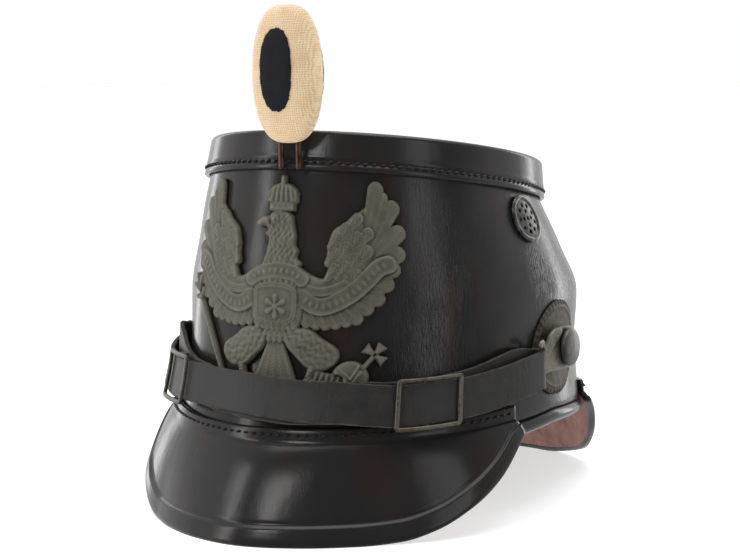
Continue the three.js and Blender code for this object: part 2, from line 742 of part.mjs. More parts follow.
// One side's flight feathers: root and tip, as shares of the badge's height in hundredths
const wingFeathers = [
  { rootX: 29, rootY: 70, tipX: 41.5, tipY: 93.5, half: 2.6 },
  { rootX: 31, rootY: 68, tipX: 46.5, tipY: 89.5, half: 2.7 },
  { rootX: 32, rootY: 66, tipX: 49.8, tipY: 83.0, half: 2.8 },
  { rootX: 33, rootY: 64, tipX: 51.2, tipY: 76.0, half: 2.8 },
  { rootX: 33, rootY: 61, tipX: 51.4, tipY: 69.0, half: 2.8 },
  { rootX: 32, rootY: 58, tipX: 50.6, tipY: 62.0, half: 2.8 },
  { rootX: 31, rootY: 56, tipX: 48.2, tipY: 55.0, half: 2.7 },
  { rootX: 28, rootY: 54, tipX: 44.0, tipY: 48.5, half: 2.6 },
  { rootX: 25, rootY: 52, tipX: 38.8, tipY: 43.2, half: 2.5 },
  { rootX: 21, rootY: 51, tipX: 32.8, tipY: 39.5, half: 2.4 },
  { rootX: 17, rootY: 50, tipX: 26.2, tipY: 37.8, half: 2.3 },
  { rootX: 13, rootY: 49, tipX: 19.8, tipY: 37.6, half: 2.1 },
];
const tailFeathers = [
  { rootX: 0, rootY: 30, tipX: 0, tipY: 1.8, half: 2.6 },
  { rootX: 1.5, rootY: 30, tipX: 6.2, tipY: 2.4, half: 2.5 },
  { rootX: 2.5, rootY: 30, tipX: 11.8, tipY: 4.2, half: 2.4 },
];

function capsulePoints(x0, y0, x1, y1, half, steps = 3) {
  const heading = Math.atan2(y1 - y0, x1 - x0);
  const points = [];
  for (let i = 0; i <= steps; i += 1) {
    const turn = heading - Math.PI / 2 + (Math.PI * i) / steps;
    points.push(new THREE.Vector2(x1 + half * Math.cos(turn), y1 + half * Math.sin(turn)));
  }
  const rootHalf = 0.6 * half;
  [1, -1].forEach((side) => {
    points.push(new THREE.Vector2(x0 - side * rootHalf * Math.sin(heading), y0 + side * rootHalf * Math.cos(heading)));
  });
  return points;
}

const badgeLayers = [];
function addBadge(points, rise, mirrored = false) {
  const scaled = points.map((p) => new THREE.Vector2(p.x * unit, p.y * unit));
  badgeLayers.push({ points: scaled, rise });
  if (mirrored) badgeLayers.push({ points: scaled.map((p) => new THREE.Vector2(-p.x, p.y)), rise });
}
const pointList = (list) => list.map((p) => new THREE.Vector2(...p));

wingFeathers.forEach((feather, i) => {
  const points = capsulePoints(feather.rootX, feather.rootY, feather.tipX, feather.tipY, feather.half);
  addBadge(points, i % 2 ? featherRise : 0.35 * featherRise, true);
});
tailFeathers.forEach((feather, i) => {
  const points = capsulePoints(feather.rootX, feather.rootY, feather.tipX, feather.tipY, feather.half);
  addBadge(points, i % 2 ? featherRise : 0.35 * featherRise, feather.tipX > 0);
});
// Covert feathers and the wing's shoulder
addBadge(pointList([
  [8, 48], [20, 47], [30, 53], [36, 62], [35, 71], [34, 80], [39, 89], [33, 83.5],
  [25.5, 77], [20.5, 70.5], [21.5, 59.5], [14, 59], [8, 60],
]), 1.5 * featherRise, true);
// Neck, head, breast and belly
addBadge(pointList([
  [-8, 33], [8, 33], [11.5, 44], [11, 56], [8.5, 63], [7, 70], [6.5, 77], [4.5, 82],
  [-3, 83], [-6, 80.5], [-9.5, 80], [-11.5, 76.5], [-7.5, 76], [-5.5, 73.5], [-7.5, 64],
  [-10.5, 57], [-11.5, 44],
]), 2.2 * featherRise);
// Thighs
addBadge(pointList([
  [5, 36], [14, 36.5], [22, 31], [26, 28], [25.5, 24], [21, 20.5], [15, 21], [9, 26], [4, 30],
]), 1.8 * featherRise, true);
// Feet, the right one holding the orb and the left one the sceptre
addBadge(pointList([[11, 23], [17, 22.5], [20, 19], [19, 15.5], [13, 14], [9.5, 17]]), 1.3 * featherRise, true);
addBadge(circlePoints(31, 16.5, 7.4, 14), 2 * featherRise);
addBadge(pointList([[17, 15], [26, 12], [26, 19], [18, 20]]), 0.8 * featherRise);
// Cross above the orb, leaning outwards
const crossTurn = radians(-38);
function turned(list, x, y, turn) {
  return list.map(([u, v]) => new THREE.Vector2(
    x + u * Math.cos(turn) - v * Math.sin(turn),
    y + u * Math.sin(turn) + v * Math.cos(turn),
  ));
}
addBadge(turned([
  [-1.2, -8], [1.2, -8], [0.9, -1], [4.6, -2.4], [4.6, 2.4], [0.9, 0.9], [2.4, 4.8],
  [-2.4, 4.8], [-0.9, 0.9], [-4.6, 2.4], [-4.6, -2.4], [-0.9, -1],
], 40, 26, crossTurn), 1.2 * featherRise);
// Sceptre
addBadge(turned([[-1.1, -20], [1.1, -20], [1.1, 18], [-1.1, 18]], -36, 31, radians(31)), 1.2 * featherRise);
addBadge(turned([
  [-2.2, 16], [2.2, 16], [3.6, 21], [2.6, 25], [0, 28], [-2.6, 25], [-3.6, 21],
], -36, 31, radians(31)), 1.8 * featherRise);
// Crown: band, two bows and a finial
addBadge(pointList([
  [-6, 82.5], [6.5, 82.5], [7.4, 87], [7, 91], [3.5, 93.4], [1.6, 94.2], [1.6, 96.8], [-1.2, 96.8],
  [-1.2, 94.2], [-3.2, 93.4], [-6.7, 91], [-7, 87],
]), 2.2 * featherRise);
// Scroll over the breast and the wings
addBadge(pointList([
  [-12, 58.5], [0, 63.5], [12, 58.5], [18, 49.5], [26, 52], [34, 60.5], [41, 65], [46, 64.6],
  [46, 58.5], [41, 58.5], [35, 54], [27, 45.5], [17.5, 42.5], [12, 51.5], [0, 56.2], [-12, 51.5],
  [-17.5, 42.5], [-27, 45.5], [-35, 54], [-41, 58.5], [-46, 58.5], [-46, 64.6], [-41, 65],
  [-34, 60.5], [-26, 52], [-18, 49.5],
]), 2.8 * featherRise);
// Shield on the belly
addBadge(pointList([[-8.5, 52], [9, 52], [9.4, 44], [6.5, 38.5], [0.2, 35.5], [-6, 38.5], [-9, 44]]), 3.2 * featherRise);

let badgeSolid = null;
badgeLayers.forEach(({ points, rise }) => {
  const layer = solidOf(plateOf(points, 0, badgePlate + rise));
  badgeSolid = badgeSolid === null ? layer : badgeSolid.add(layer);
});
const badgeFlat = splitLongEdges(geometryOf(badgeSolid), 15).translate(0, 0, badgeGap);
addPiece('eagle_badge', bendOnBody(badgeFlat, 0, badgeFoot, badgeArcRadius), greySteel);

// Field badge: an oval, flattened body with a cloth patch on each face, on two wire prongs
const bandTop = bodyPoint(0, 1, bandOut - capTaper, capHeight);
const bandFoot = bodyPoint(0, 1, bandOut, 0);
const fieldCentre = new THREE.Vector3(
  fieldBadgeShift,
  bandTop.y - fieldBadgeStandoff,
  bandTop.z - fieldBadgeOverlap + fieldBadgeHeight / 2,
);
const ovalSquareness = 0.78;
const patchSquareness = 0.75;
function ovalPoint(turn, rise, swell = 0) {
  const flat = (value) => Math.sign(value) * Math.abs(value) ** ovalSquareness;
  const ringSize = Math.cos(rise) ** ovalSquareness;
  return new THREE.Vector3(
    (fieldBadgeWidth / 2 + swell) * ringSize * flat(Math.sin(turn)),
    -(fieldBadgeDepth / 2 + swell) * ringSize * flat(Math.cos(turn)),
    (fieldBadgeHeight / 2 + swell) * Math.sin(rise),
  ).add(fieldCentre);
}
const ovalRings = Array.from({ length: 9 }, (_, i) => {
  const rise = radians(-80 + 20 * i);
  return Array.from({ length: 16 }, (__, j) => ovalPoint((2 * Math.PI * j) / 16, rise));
});
addPiece('field_badge_body', meshFromRings(ovalRings, { capFan: true }), creamCloth);

function clothPatch(facing, width, height) {
  const ring = (share, swell) => Array.from({ length: 12 }, (_, i) => {
    const turn = (2 * Math.PI * i) / 12;
    const flat = (value) => Math.sign(value) * Math.abs(value) ** patchSquareness;
    const x = (share * width * flat(Math.cos(turn))) / 2;
    const z = (share * height * flat(Math.sin(turn))) / 2;
    const rise = Math.asin(z / (fieldBadgeHeight / 2));
    const across = Math.abs(x) / (Math.cos(rise) ** ovalSquareness * (fieldBadgeWidth / 2));
    const side = Math.asin(Math.sign(x) * across ** (1 / ovalSquareness));
    return ovalPoint(facing > 0 ? side : Math.PI - side, rise, swell);
  });
  const top = clearance + clothThickness;
  return meshFromRings(
    [ring(0.4, top), ring(0.75, top), ring(1, top), ring(1, clearance), ring(0.75, clearance), ring(0.4, clearance)],
    { capFan: true },
  );
}
addPiece('field_badge_patch_front', clothPatch(1, clothPatchWidth, clothPatchHeight), blackCloth);
addPiece('field_badge_patch_back', clothPatch(-1, backPatchWidth, backPatchHeight), blackCloth);

sideSigns.forEach(({ side, sign }) => {
  const x = fieldBadgeShift + (sign * prongSpacing) / 2;
  const wireY = bandFoot.y - clearance - prongRadius;
  const route = new THREE.LineCurve3(
    new THREE.Vector3(x, wireY, bandFoot.z),
    new THREE.Vector3(x, wireY, fieldCentre.z - fieldBadgeHeight / 2),
  );
  const section = new THREE.Shape(circlePoints(0, 0, prongRadius, 8));
  const wire = new THREE.ExtrudeGeometry(section, { steps: 2, bevelEnabled: false, extrudePath: route });
  addPiece(`field_badge_prong_${side}`, closedFrom(wire), wireCopper);
});

// The origin lies on the ground, under the middle of the hat's length
const box = new THREE.Box3().setFromObject(group);
group.position.y = -(box.min.y + box.max.y) / 2;

export default group;
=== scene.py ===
# Light-infantry shako of black lacquered leather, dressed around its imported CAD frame.
# Sizes are written in millimetres and turned to metres when a mesh is made.
# The hat's front faces -Y, its left side is +X, and it rests on both peaks at Z = 0.
import math

import bmesh
import bpy
import numpy as np
from mathutils import Matrix, Vector


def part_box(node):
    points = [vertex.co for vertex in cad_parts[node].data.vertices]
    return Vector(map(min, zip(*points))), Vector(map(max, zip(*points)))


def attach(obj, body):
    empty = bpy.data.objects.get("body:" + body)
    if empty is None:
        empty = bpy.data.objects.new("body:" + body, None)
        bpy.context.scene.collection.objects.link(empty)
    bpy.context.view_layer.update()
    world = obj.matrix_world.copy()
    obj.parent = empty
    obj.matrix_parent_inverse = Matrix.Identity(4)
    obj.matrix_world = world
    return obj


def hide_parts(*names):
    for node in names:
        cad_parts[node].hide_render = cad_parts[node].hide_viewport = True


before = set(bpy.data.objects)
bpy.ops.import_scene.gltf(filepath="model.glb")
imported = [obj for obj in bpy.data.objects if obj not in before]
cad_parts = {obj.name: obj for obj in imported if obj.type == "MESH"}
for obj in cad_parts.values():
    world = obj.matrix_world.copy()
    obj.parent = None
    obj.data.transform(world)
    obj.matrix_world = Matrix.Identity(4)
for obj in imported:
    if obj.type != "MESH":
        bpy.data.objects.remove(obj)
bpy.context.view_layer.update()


# Body
# The tall leather tube that the hat is built on: cow hide blocked over a form, lacquered black
# outside and left bare inside, waisted at half height and deeper at the back.
# Its top is sewn under the crown cap and its foot is turned over a roll.
MM = 0.001
foot_length = 195.4
foot_width = 166.4
crown_length = 152.0
crown_width = 138.8
foot_height = 43.9
body_height = 88.1
foot_tilt = math.radians(3.55)
crown_tilt = math.radians(-10.1)
rear_drop = 23.3
rear_fade = 0.25
body_wall = 2.4
clearance = 0.4
foot_lip = 2.4
cap_height = 15.9
cap_taper = 2.0
cap_leather = 2.0
around = 288

# Sections of the body from the peaks' stitch line to the crown band, as shares
body_up = (0.0, 0.25, 0.5, 0.75, 1.0)
body_length_share = (0.0, 0.19, 0.23, 0.585, 1.0)
body_width_share = (0.0, 0.19, 0.145, 0.53, 1.0)
body_back_share = (0.0, 0.0205, 0.0322, 0.0133, -0.0107)


def smooth_column(x, y):
    """A smooth curve through the points, with no overshoot between them"""
    x = np.asarray(x, float)
    y = np.asarray(y, float)
    slope = np.diff(y) / np.diff(x)
    tangent = np.zeros(len(x))
    tangent[0], tangent[-1] = slope[0], slope[-1]
    for i in range(1, len(x) - 1):
        if slope[i - 1] * slope[i] > 0:
            before, after = x[i] - x[i - 1], x[i + 1] - x[i]
            w1, w2 = 2 * after + before, after + 2 * before
            tangent[i] = (w1 + w2) / (w1 / slope[i - 1] + w2 / slope[i])

    def value(at):
        at = np.clip(np.asarray(at, float), x[0], x[-1])
        i = np.clip(np.searchsorted(x, at, side="right") - 1, 0, len(x) - 2)
        h = x[i + 1] - x[i]
        u = (at - x[i]) / h
        return (
            (1 + 2 * u) * (1 - u) ** 2 * y[i]
            + u * (1 - u) ** 2 * h * tangent[i]
            + u * u * (3 - 2 * u) * y[i + 1]
            + u * u * (u - 1) * h * tangent[i + 1]
        )

    return value


length_share = smooth_column(body_up, body_length_share)
width_share = smooth_column(body_up, body_width_share)
back_share = smooth_column(body_up, body_back_share)


def foot_drop(angle):
    """How far the foot falls below the front's stitch line on its way to the back"""
    turned = np.abs(np.mod(angle + math.pi, 2 * math.pi) - math.pi)
    share = np.clip((turned - math.radians(88)) / math.radians(92), 0, 1)
    # Rounded off over a few degrees in the middle of the back, where the two sides meet
    level_share = 0.03
    share = np.maximum(0, 1 - np.hypot(1 - share, level_share) + level_share * share)
    return rear_drop * share**1.15


hat_shift = 0.0


def body_point(angle, up, out=0.0, lift=0.0):
    """Points of the body's outer face by angle from the front and share of height"""
    angle, up, out, lift = np.broadcast_arrays(*(np.asarray(v, float) for v in (angle, up, out, lift)))
    a = (foot_length + (crown_length - foot_length) * length_share(up)) / 2
    b = (foot_width + (crown_width - foot_width) * width_share(up)) / 2
    tilt = foot_tilt + (crown_tilt - foot_tilt) * up
    c, s = np.cos(angle), np.sin(angle)
    nx, ny = s / b, -c / a
    size = np.hypot(nx, ny)
    x = b * s + nx / size * out
    y = -a * c + ny / size * out
    rise = lift - foot_drop(angle) * np.maximum(0, 1 - up / rear_fade)
    return np.stack(
        [
            x,
            hat_shift + back_share(up) * foot_length + y * np.cos(tilt) - rise * np.sin(tilt),
            foot_height + body_height * up + y * np.sin(tilt) + rise * np.cos(tilt),
        ],
        -1,
    )


# The CAD centres the hat's length on the origin, so its own box gives the shift
band_out = clearance + cap_leather
hat_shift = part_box("top_cap")[0].y / MM - body_point(0, 1, band_out)[1]


def on_body(angle, height, out):
    """Points over the body's face by angle and height above the ground, with their normals"""
    angle, height, out = np.broadcast_arrays(*(np.asarray(v, float) for v in (angle, height, out)))
    low, high = np.zeros(angle.shape), np.ones(angle.shape)
    for _ in range(24):
        middle = (low + high) / 2
        below = body_point(angle, middle)[..., 2] < height
        low = np.where(below, middle, low)
        high = np.where(below, high, middle)
    reach = 0.1
    up = np.clip(middle, reach, 1 - reach)
    point = body_point(angle, middle)
    point[..., 2] = height
    across = body_point(angle + 0.01, up) - body_point(angle - 0.01, up)
    along = body_point(angle, up + reach) - body_point(angle, up - reach)
    normal = np.cross(across, along)
    normal /= np.linalg.norm(normal, axis=-1, keepdims=True)
    return point + normal * out[..., None], normal


def arc_radius(angle, height):
    step = 0.01
    ends, _ = on_body(np.array([angle - step, angle + step]), height, 0)
    return np.linalg.norm(ends[1] - ends[0]) / (2 * step)


def grid_faces(rows, columns, rows_closed=False, columns_closed=False):
    """Quads between rows of points"""
    i = np.arange(rows if rows_closed else rows - 1)[:, None]
    j = np.arange(columns if columns_closed else columns - 1)[None, :]
    i2, j2 = (i + 1) % rows, (j + 1) % columns
    corners = (i * columns + j, i * columns + j2, i2 * columns + j2, i2 * columns + j)
    return np.stack(np.broadcast_arrays(*corners), -1).reshape(-1, 4).tolist()


def capped_faces(rows, columns):
    """Faces of a tube of points with both ends closed"""
    ends = [list(range(columns))[::-1], [(rows - 1) * columns + j for j in range(columns)]]
    return grid_faces(rows, columns, columns_closed=True) + ends


def piece(name, points, faces, looks, nodes=(), look_of_face=None, smooth=True):
    """Make a piece from points in millimetres, in the row frame, and let it ride on the hat"""
    mesh = bpy.data.meshes.new(name)
    mesh.from_pydata((np.asarray(points, float).reshape(-1, 3) * MM).tolist(), [], faces)
    mesh.validate()
    for look in looks:
        mesh.materials.append(look)
    if look_of_face is not None:
        mesh.polygons.foreach_set("material_index", np.asarray(look_of_face, np.int32))
    mesh.polygons.foreach_set("use_smooth", np.full(len(mesh.polygons), smooth))
    body = bmesh.new()
    body.from_mesh(mesh)
    bmesh.ops.recalc_face_normals(body, faces=body.faces)
    body.to_mesh(mesh)
    body.free()
    mesh.update()
    obj = bpy.data.objects.new(name, mesh)
    bpy.context.scene.collection.objects.link(obj)
    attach(obj, "root")
    if nodes:
        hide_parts(*nodes)
    return obj


def colour(code):
    """Linear colour from an sRGB hex value"""
    parts = [int(code[i : i + 2], 16) / 255 for i in (1, 3, 5)]
    return tuple(p / 12.92 if p <= 0.04045 else ((p + 0.055) / 1.055) ** 2.4 for p in parts) + (1.0,)


def add(tree, kind, links=(), **settings):
    """Add a node with its settings and sockets' values, and link its inputs"""
    node = tree.nodes.new("ShaderNode" + kind)
    for key, value in settings.items():
        if key == "stops":
            ramp = node.color_ramp
            for stop, (place, _) in zip(ramp.elements, (value[0], value[-1])):
                stop.position = place
            for place, _ in value[1:-1]:
                ramp.elements.new(place)
            for stop, (_, code) in zip(ramp.elements, value):
                stop.color = colour(code) if isinstance(code, str) else (code, code, code, 1)
        elif key.startswith("in_"):
            node.inputs[key[3:].replace("_", " ")].default_value = value
        else:
            setattr(node, key, value)
    for socket, source in links:
        tree.links.new(source, node.inputs[socket])
    return node


def new_look(name):
    """An empty node material with its shader, and its tree"""
    look = bpy.data.materials.new(name)
    look.use_nodes = True
    tree = look.node_tree
    return look, tree, tree.nodes["Principled BSDF"]


def set_shader(shader, **values):
    for key, value in values.items():
        shader.inputs[key.replace("_", " ")].default_value = value


def noise(tree, place, size, detail, roughness=0.5):
    """Noise with its grain in millimetres"""
    grain = {"in_Scale": 1 / (size * MM), "in_Detail": detail, "in_Roughness": roughness}
    return add(tree, "TexNoise", [("Vector", place)], **grain).outputs["Fac"]


def ranged(tree, value, low, high):
    """A value from 0 to 1 set between low and high"""
    return add(tree, "MapRange", [("Value", value)], in_To_Min=low, in_To_Max=high).outputs["Result"]


def combined(tree, operation, first, second):
    return add(tree, "Math", [(0, first), (1, second)], operation=operation).outputs["Value"]


def tinted(tree, shader, share, *stops):
    """Colour the shader by a ramp of (share, hex value)"""
    ramp = add(tree, "ValToRGB", [("Fac", share)], stops=stops)
    tree.links.new(ramp.outputs["Color"], shader.inputs["Base Color"])


def bumped(tree, shader, *layers):
    """Bump the shader by layers of (height, strength, distance in millimetres)"""
    normal = None
    for height, strength, distance in layers:
        bump = add(tree, "Bump", [("Height", height)], in_Distance=distance * MM)
        if isinstance(strength, float):
            bump.inputs["Strength"].default_value = strength
        else:
            tree.links.new(strength, bump.inputs["Strength"])
        if normal is not None:
            tree.links.new(normal, bump.inputs["Normal"])
        normal = bump.outputs["Normal"]
    tree.links.new(normal, shader.inputs["Normal"])


# Lacquered leather: cow hide under several coats of black linseed lacquer, rubbed and polished.
# To the eye it is a black gloss with soft reflections, brown where the lacquer is thin, and
# finely cracked along the height where the hide has moved.
def lacquer(name, crack_strength, crack_side, brown=0.5):
    look, tree, shader = new_look(name)
    place = add(tree, "TexCoord").outputs["Object"]
    upright = add(tree, "Mapping", [("Vector", place)], in_Scale=(1, 1, 0.16)).outputs["Vector"]
    streaks = noise(tree, upright, 14.0, 4.0)
    thin_lacquer = 0.5 + 0.3 * (1.001 - brown)
    tinted(tree, shader, streaks, (0.5, "#242424"), (thin_lacquer, "#2b2220"), (0.95, "#3a231d"))
    scuffs = noise(tree, place, 22.0, 6.0, 0.65)
    tree.links.new(ranged(tree, scuffs, 0.1, 0.3), shader.inputs["Roughness"])
    # Cracks about 1.1 mm apart and six times as long up the hat, most of them on one side
    crack_spacing = 1.1
    side_fade = 0.05
    grainwise = add(tree, "Mapping", [("Vector", place)], in_Scale=(1, 1, 0.17)).outputs["Vector"]
    wander = add(tree, "TexNoise", [("Vector", grainwise)], in_Scale=1 / (3 * MM), in_Detail=2.0)
    bent = add(tree, "MixRGB", [("Color1", grainwise), ("Color2", wander.outputs["Color"])], in_Fac=0.0008)
    cracks = add(
        tree,
        "TexVoronoi",
        [("Vector", bent.outputs["Color"])],
        feature="DISTANCE_TO_EDGE",
        in_Scale=1 / (crack_spacing * MM),
    )
    edge = add(tree, "MapRange", [("Value", cracks.outputs["Distance"])], in_From_Max=0.09)
    side = add(tree, "SeparateXYZ", [("Vector", place)]).outputs["X"]
    more = add(
        tree,
        "MapRange",
        [("Value", side)],
        in_From_Min=crack_side - side_fade,
        in_From_Max=crack_side + side_fade,
        in_To_Min=0.15,
    )
    amount = combined(tree, "MULTIPLY", noise(tree, place, 35, 2.0), more.outputs["Result"])
    pores = noise(tree, place, 1.6, 4.0)
    brush_marks = noise(tree, upright, 9, 2.0)
    bumped(
        tree,
        shader,
        (edge.outputs["Result"], amount, crack_strength),
        (pores, 0.35, 0.05),
        (brush_marks, 0.4, 0.35),
    )
    set_shader(shader, IOR=1.32)
    return look


# Bare flesh side of the hide: brown, napped, no gloss
def bare_leather(name, dark, light):
    look, tree, shader = new_look(name)
    place = add(tree, "TexCoord").outputs["Object"]
    tinted(tree, shader, noise(tree, place, 12, 8.0, 0.7), (0.3, dark), (0.7, light))
    bumped(tree, shader, (noise(tree, place, 0.8, 6.0), 0.7, 0.3))
    set_shader(shader, Roughness=0.62, IOR=1.5)
    return look


body_lacquer = lacquer("body_lacquer", 0.035, 0.01)
flesh_side = bare_leather("flesh_side", "#2a1911", "#5c3d29")

ring_angles = np.linspace(0, 2 * math.pi, around, endpoint=False)
cap_inner = cap_height - cap_leather - clearance


def body_rows(count):
    """Rows of (share of height, lift, move inwards) from the foot's lip to under the cap"""
    rows = [(0.0, -foot_lip, 0.0), (0.0, -foot_lip / 2, 0.0)]
    rows += [(up, 0.0, 0.0) for up in np.linspace(0, 1, count)]
    rows += [(1.0, cap_inner * k, cap_taper * cap_inner * k / cap_height) for k in (0.33, 0.66, 1.0)]
    return rows


def hand_blocked(points_angle, up):
    """Slight hollows of the blocked hide, at most 0.3 mm deep and none at the sewn edges"""
    fade = np.clip(np.minimum(up, 1 - up) / 0.12, 0, 1) ** 2
    a = points_angle
    swell = (
        0.5 * np.sin(3 * a + 9 * up + 1.3)
        + 0.4 * np.sin(7 * a - 5 * up + 0.4)
        + 0.3 * np.sin(13 * a + 12 * up + 2.0)
        + 0.2 * np.sin(23 * a - 17 * up)
    )
    return 0.22 * fade * swell


outer_steps = 52
inner_steps = 26
outer_rows = body_rows(outer_steps)
body_rings = []
for up, lift, inward in outer_rows:
    body_rings.append(body_point(ring_angles, up, hand_blocked(ring_angles, up) - inward, lift))
for up, lift, inward in reversed(body_rows(inner_steps)):
    body_rings.append(body_point(ring_angles, up, -body_wall - inward, lift))
body_faces = grid_faces(len(body_rings), around, rows_closed=True, columns_closed=True)
look_of_body = [0 if i // around < len(outer_rows) else 1 for i in range(len(body_faces))]
body_shell = piece(
    "body_shell_fine",
    body_rings,
    body_faces,
    [body_lacquer, flesh_side],
    ["body_shell"],
    look_of_body,
)


# Crown cap
# A leather disc with its edge turned down over the body, the cap in one blocked piece.
# Its band is sewn on through the body with a waxed thread near its lower edge.
cap_rounding = 1.8
cap_lacquer = lacquer("cap_lacquer", 0.012, -0.2, 0.1)


def cap_ring(out, lift):
    return body_point(ring_angles, 1, out - cap_taper * lift / cap_height, lift)


seam_lift = 3.0
cap_profile = [(clearance, cap_height - cap_leather), (clearance, cap_height / 2), (clearance, 0.0)]
cap_profile += [(clearance + 0.4, -0.25), (band_out - 0.4, -0.25), (band_out + 0.1, 0.15)]
for lift in np.linspace(0.5, cap_height - cap_rounding, 34):
    groove = 0.35 * math.exp(-(((lift - seam_lift) / 0.9) ** 2))
    swell = 0.18 * math.exp(-(((lift - 1.2) / 0.8) ** 2)) + 0.12 * math.exp(-(((lift - 5.0) / 0.9) ** 2))
    cap_profile.append((band_out - groove + swell, lift))
for turn in np.linspace(0, math.pi / 2, 9)[1:]:
    out = band_out - cap_rounding * (1 - math.cos(turn))
    cap_profile.append((out, cap_height - cap_rounding * (1 - math.sin(turn))))
cap_rings = [cap_ring(out, lift) for out, lift in cap_profile]
rim_ring = cap_rings[-1]
rim_centre = rim_ring.mean(0)
for share in (0.97, 0.93, 0.8, 0.6, 0.4, 0.2, 0.05):
    cap_rings.append(rim_centre + (rim_ring - rim_centre) * share)
under_ring = cap_rings[0]
under_centre = under_ring.mean(0)
under_rings = [under_centre + (under_ring - under_centre) * share for share in (0.02, 0.3, 0.6, 0.9)]
cap_all = under_rings + cap_rings
cap_points = np.concatenate([np.asarray(cap_all).reshape(-1, 3), [under_centre], [cap_rings[-1].mean(0)]])
cap_faces = grid_faces(len(cap_all), around, columns_closed=True)
last_row = (len(cap_all) - 1) * around
centre_index = len(cap_points) - 2
for j in range(around):
    k = (j + 1) % around
    cap_faces.append([k, j, centre_index])
    cap_faces.append([last_row + j, last_row + k, centre_index + 1])
under_faces = (len(under_rings) + 2) * around
look_of_cap = [1 if i < under_faces else 0 for i in range(len(cap_faces))]
cap_looks = [cap_lacquer, flesh_side]
piece("top_cap_fine", cap_points, cap_faces, cap_looks, ["top_cap"], look_of_cap)


# Waxed linen thread: black, dull, with a faint sheen of wax
def waxed_thread():
    look, tree, shader = new_look("waxed_thread")
    ply = noise(tree, add(tree, "TexCoord").outputs["Object"], 0.5, 3.0)
    tinted(tree, shader, ply, (0.3, "#0a0908"), (0.75, "#2a231d"))
    bumped(tree, shader, (ply, 0.8, 0.1))
    set_shader(shader, Roughness=0.5)
    return look


thread_look = waxed_thread()


def stitch_row(name, path, normals, pitch, length, width, height, slant):
    """Stitches along a path in millimetres, each arched over the leather and dipping in at its ends"""
    steps = np.linalg.norm(np.diff(path, axis=0), axis=1)
    along = np.concatenate([[0], np.cumsum(steps)])
    count = max(1, int(round(along[-1] / pitch)))
    points, faces = [], []
    rings, sides = 7, 6
    for n in range(count):
        at = (n + 0.5) * along[-1] / count
        centre = np.array([np.interp(at, along, path[:, k]) for k in range(3)])
        normal = np.array([np.interp(at, along, normals[:, k]) for k in range(3)])
        normal /= np.linalg.norm(normal)
        ahead = np.array([np.interp(at + 0.5, along, path[:, k]) for k in range(3)]) - centre
        ahead -= normal * ahead.dot(normal)
        ahead /= np.linalg.norm(ahead)
        side = np.cross(normal, ahead)
        sway = slant + 0.1 * math.sin(n * 2.4)
        heading = ahead * math.cos(sway) + side * math.sin(sway)
        across = np.cross(normal, heading)
        long = length * (1 + 0.12 * math.sin(n * 1.7))
        first = len(points)
        for i in range(rings):
            t = i / (rings - 1)
            arch = 1 - (2 * t - 1) ** 2
            middle = centre + heading * long * (t - 0.5) + normal * height * (1.5 * arch - 0.6)
            size = 0.35 + 0.65 * arch**0.5
            for j in range(sides):
                turn = 2 * math.pi * j / sides
                points.append(
                    middle
                    + across * width / 2 * size * math.cos(turn)
                    + normal * height / 2 * size * math.sin(turn)
                )
        faces += [[first + i for i in face] for face in capped_faces(rings, sides)]
    return piece(name, points, faces, [thread_look])


def cap_wall(angles, lift, out=0.0):
    """Points and normals on the cap's band at a lift above its lower edge"""
    path = body_point(angles, 1, band_out + out - cap_taper * lift / cap_height, lift)
    outer = body_point(angles, 1, band_out + out + 1 - cap_taper * lift / cap_height, lift)
    return path, outer - path


seam_angles = np.linspace(0, 2 * math.pi, 721)
seam_path, seam_normals = cap_wall(seam_angles, seam_lift, -0.25)
cap_stitch = {"pitch": 3.5, "length": 2.9, "width": 0.85, "height": 0.7, "slant": 0.3}
stitch_row("cap_stitches", seam_path, seam_normals, **cap_stitch)


# Rolled foot
# The body's lower edge is turned over a cord and makes a black roll between the peaks.
roll_radius = 3.0
roll_inset = 1.5
roll_sides = 20
roll_rings = []
for i in range(roll_sides):
    turn = 2 * math.pi * i / roll_sides
    out = -roll_inset + roll_radius * math.cos(turn)
    lift = -foot_lip - clearance - roll_radius * (1 + math.sin(turn))
    roll_rings.append(body_point(ring_angles, 0, out, lift))
roll_faces = grid_faces(roll_sides, around, rows_closed=True, columns_closed=True)
piece("base_roll_fine", roll_rings, roll_faces, [cap_lacquer], ["base_roll"])


# Peaks
# Two shades of thick leather, moulded wet and sewn to the body through an upright flange.
# The upper face is lacquered black, the lower face is red-brown, and a narrow welt runs along the edge.
peak_leather = 2.6
flange_leather = 2.0
flange_height = 5.0
flange_gap = 0.55
border_width = 5.0
border_rise = 1.0
peak_under = bare_leather("peak_under", "#7d5147", "#c29388")

front_peak_table = {
    "at": (0.0, 0.17, 0.35, 0.48, 0.6, 0.72, 0.84, 0.95, 1.0),
    "reach": (1.0, 0.9, 0.74, 0.65, 0.625, 0.585, 0.455, 0.28, 0.195),
    "height": (0.0, 0.0, 0.0, 0.02, 0.115, 0.29, 0.505, 0.76, 0.875),
    "bend": (0.41, 0.18),
}
rear_peak_table = {
    "at": (0.0, 0.3, 0.5, 0.6, 0.75, 0.9, 1.0),
    "reach": (1.0, 0.99, 0.93, 0.86, 0.7, 0.45, 0.28),
    "height": (0.0, 0.0, 0.09, 0.17, 0.43, 0.74, 0.9),
    "bend": (0.68, 0.3),
}
blade_stops = np.concatenate([np.linspace(0, 0.6, 14), np.linspace(0.63, 1, 26)])


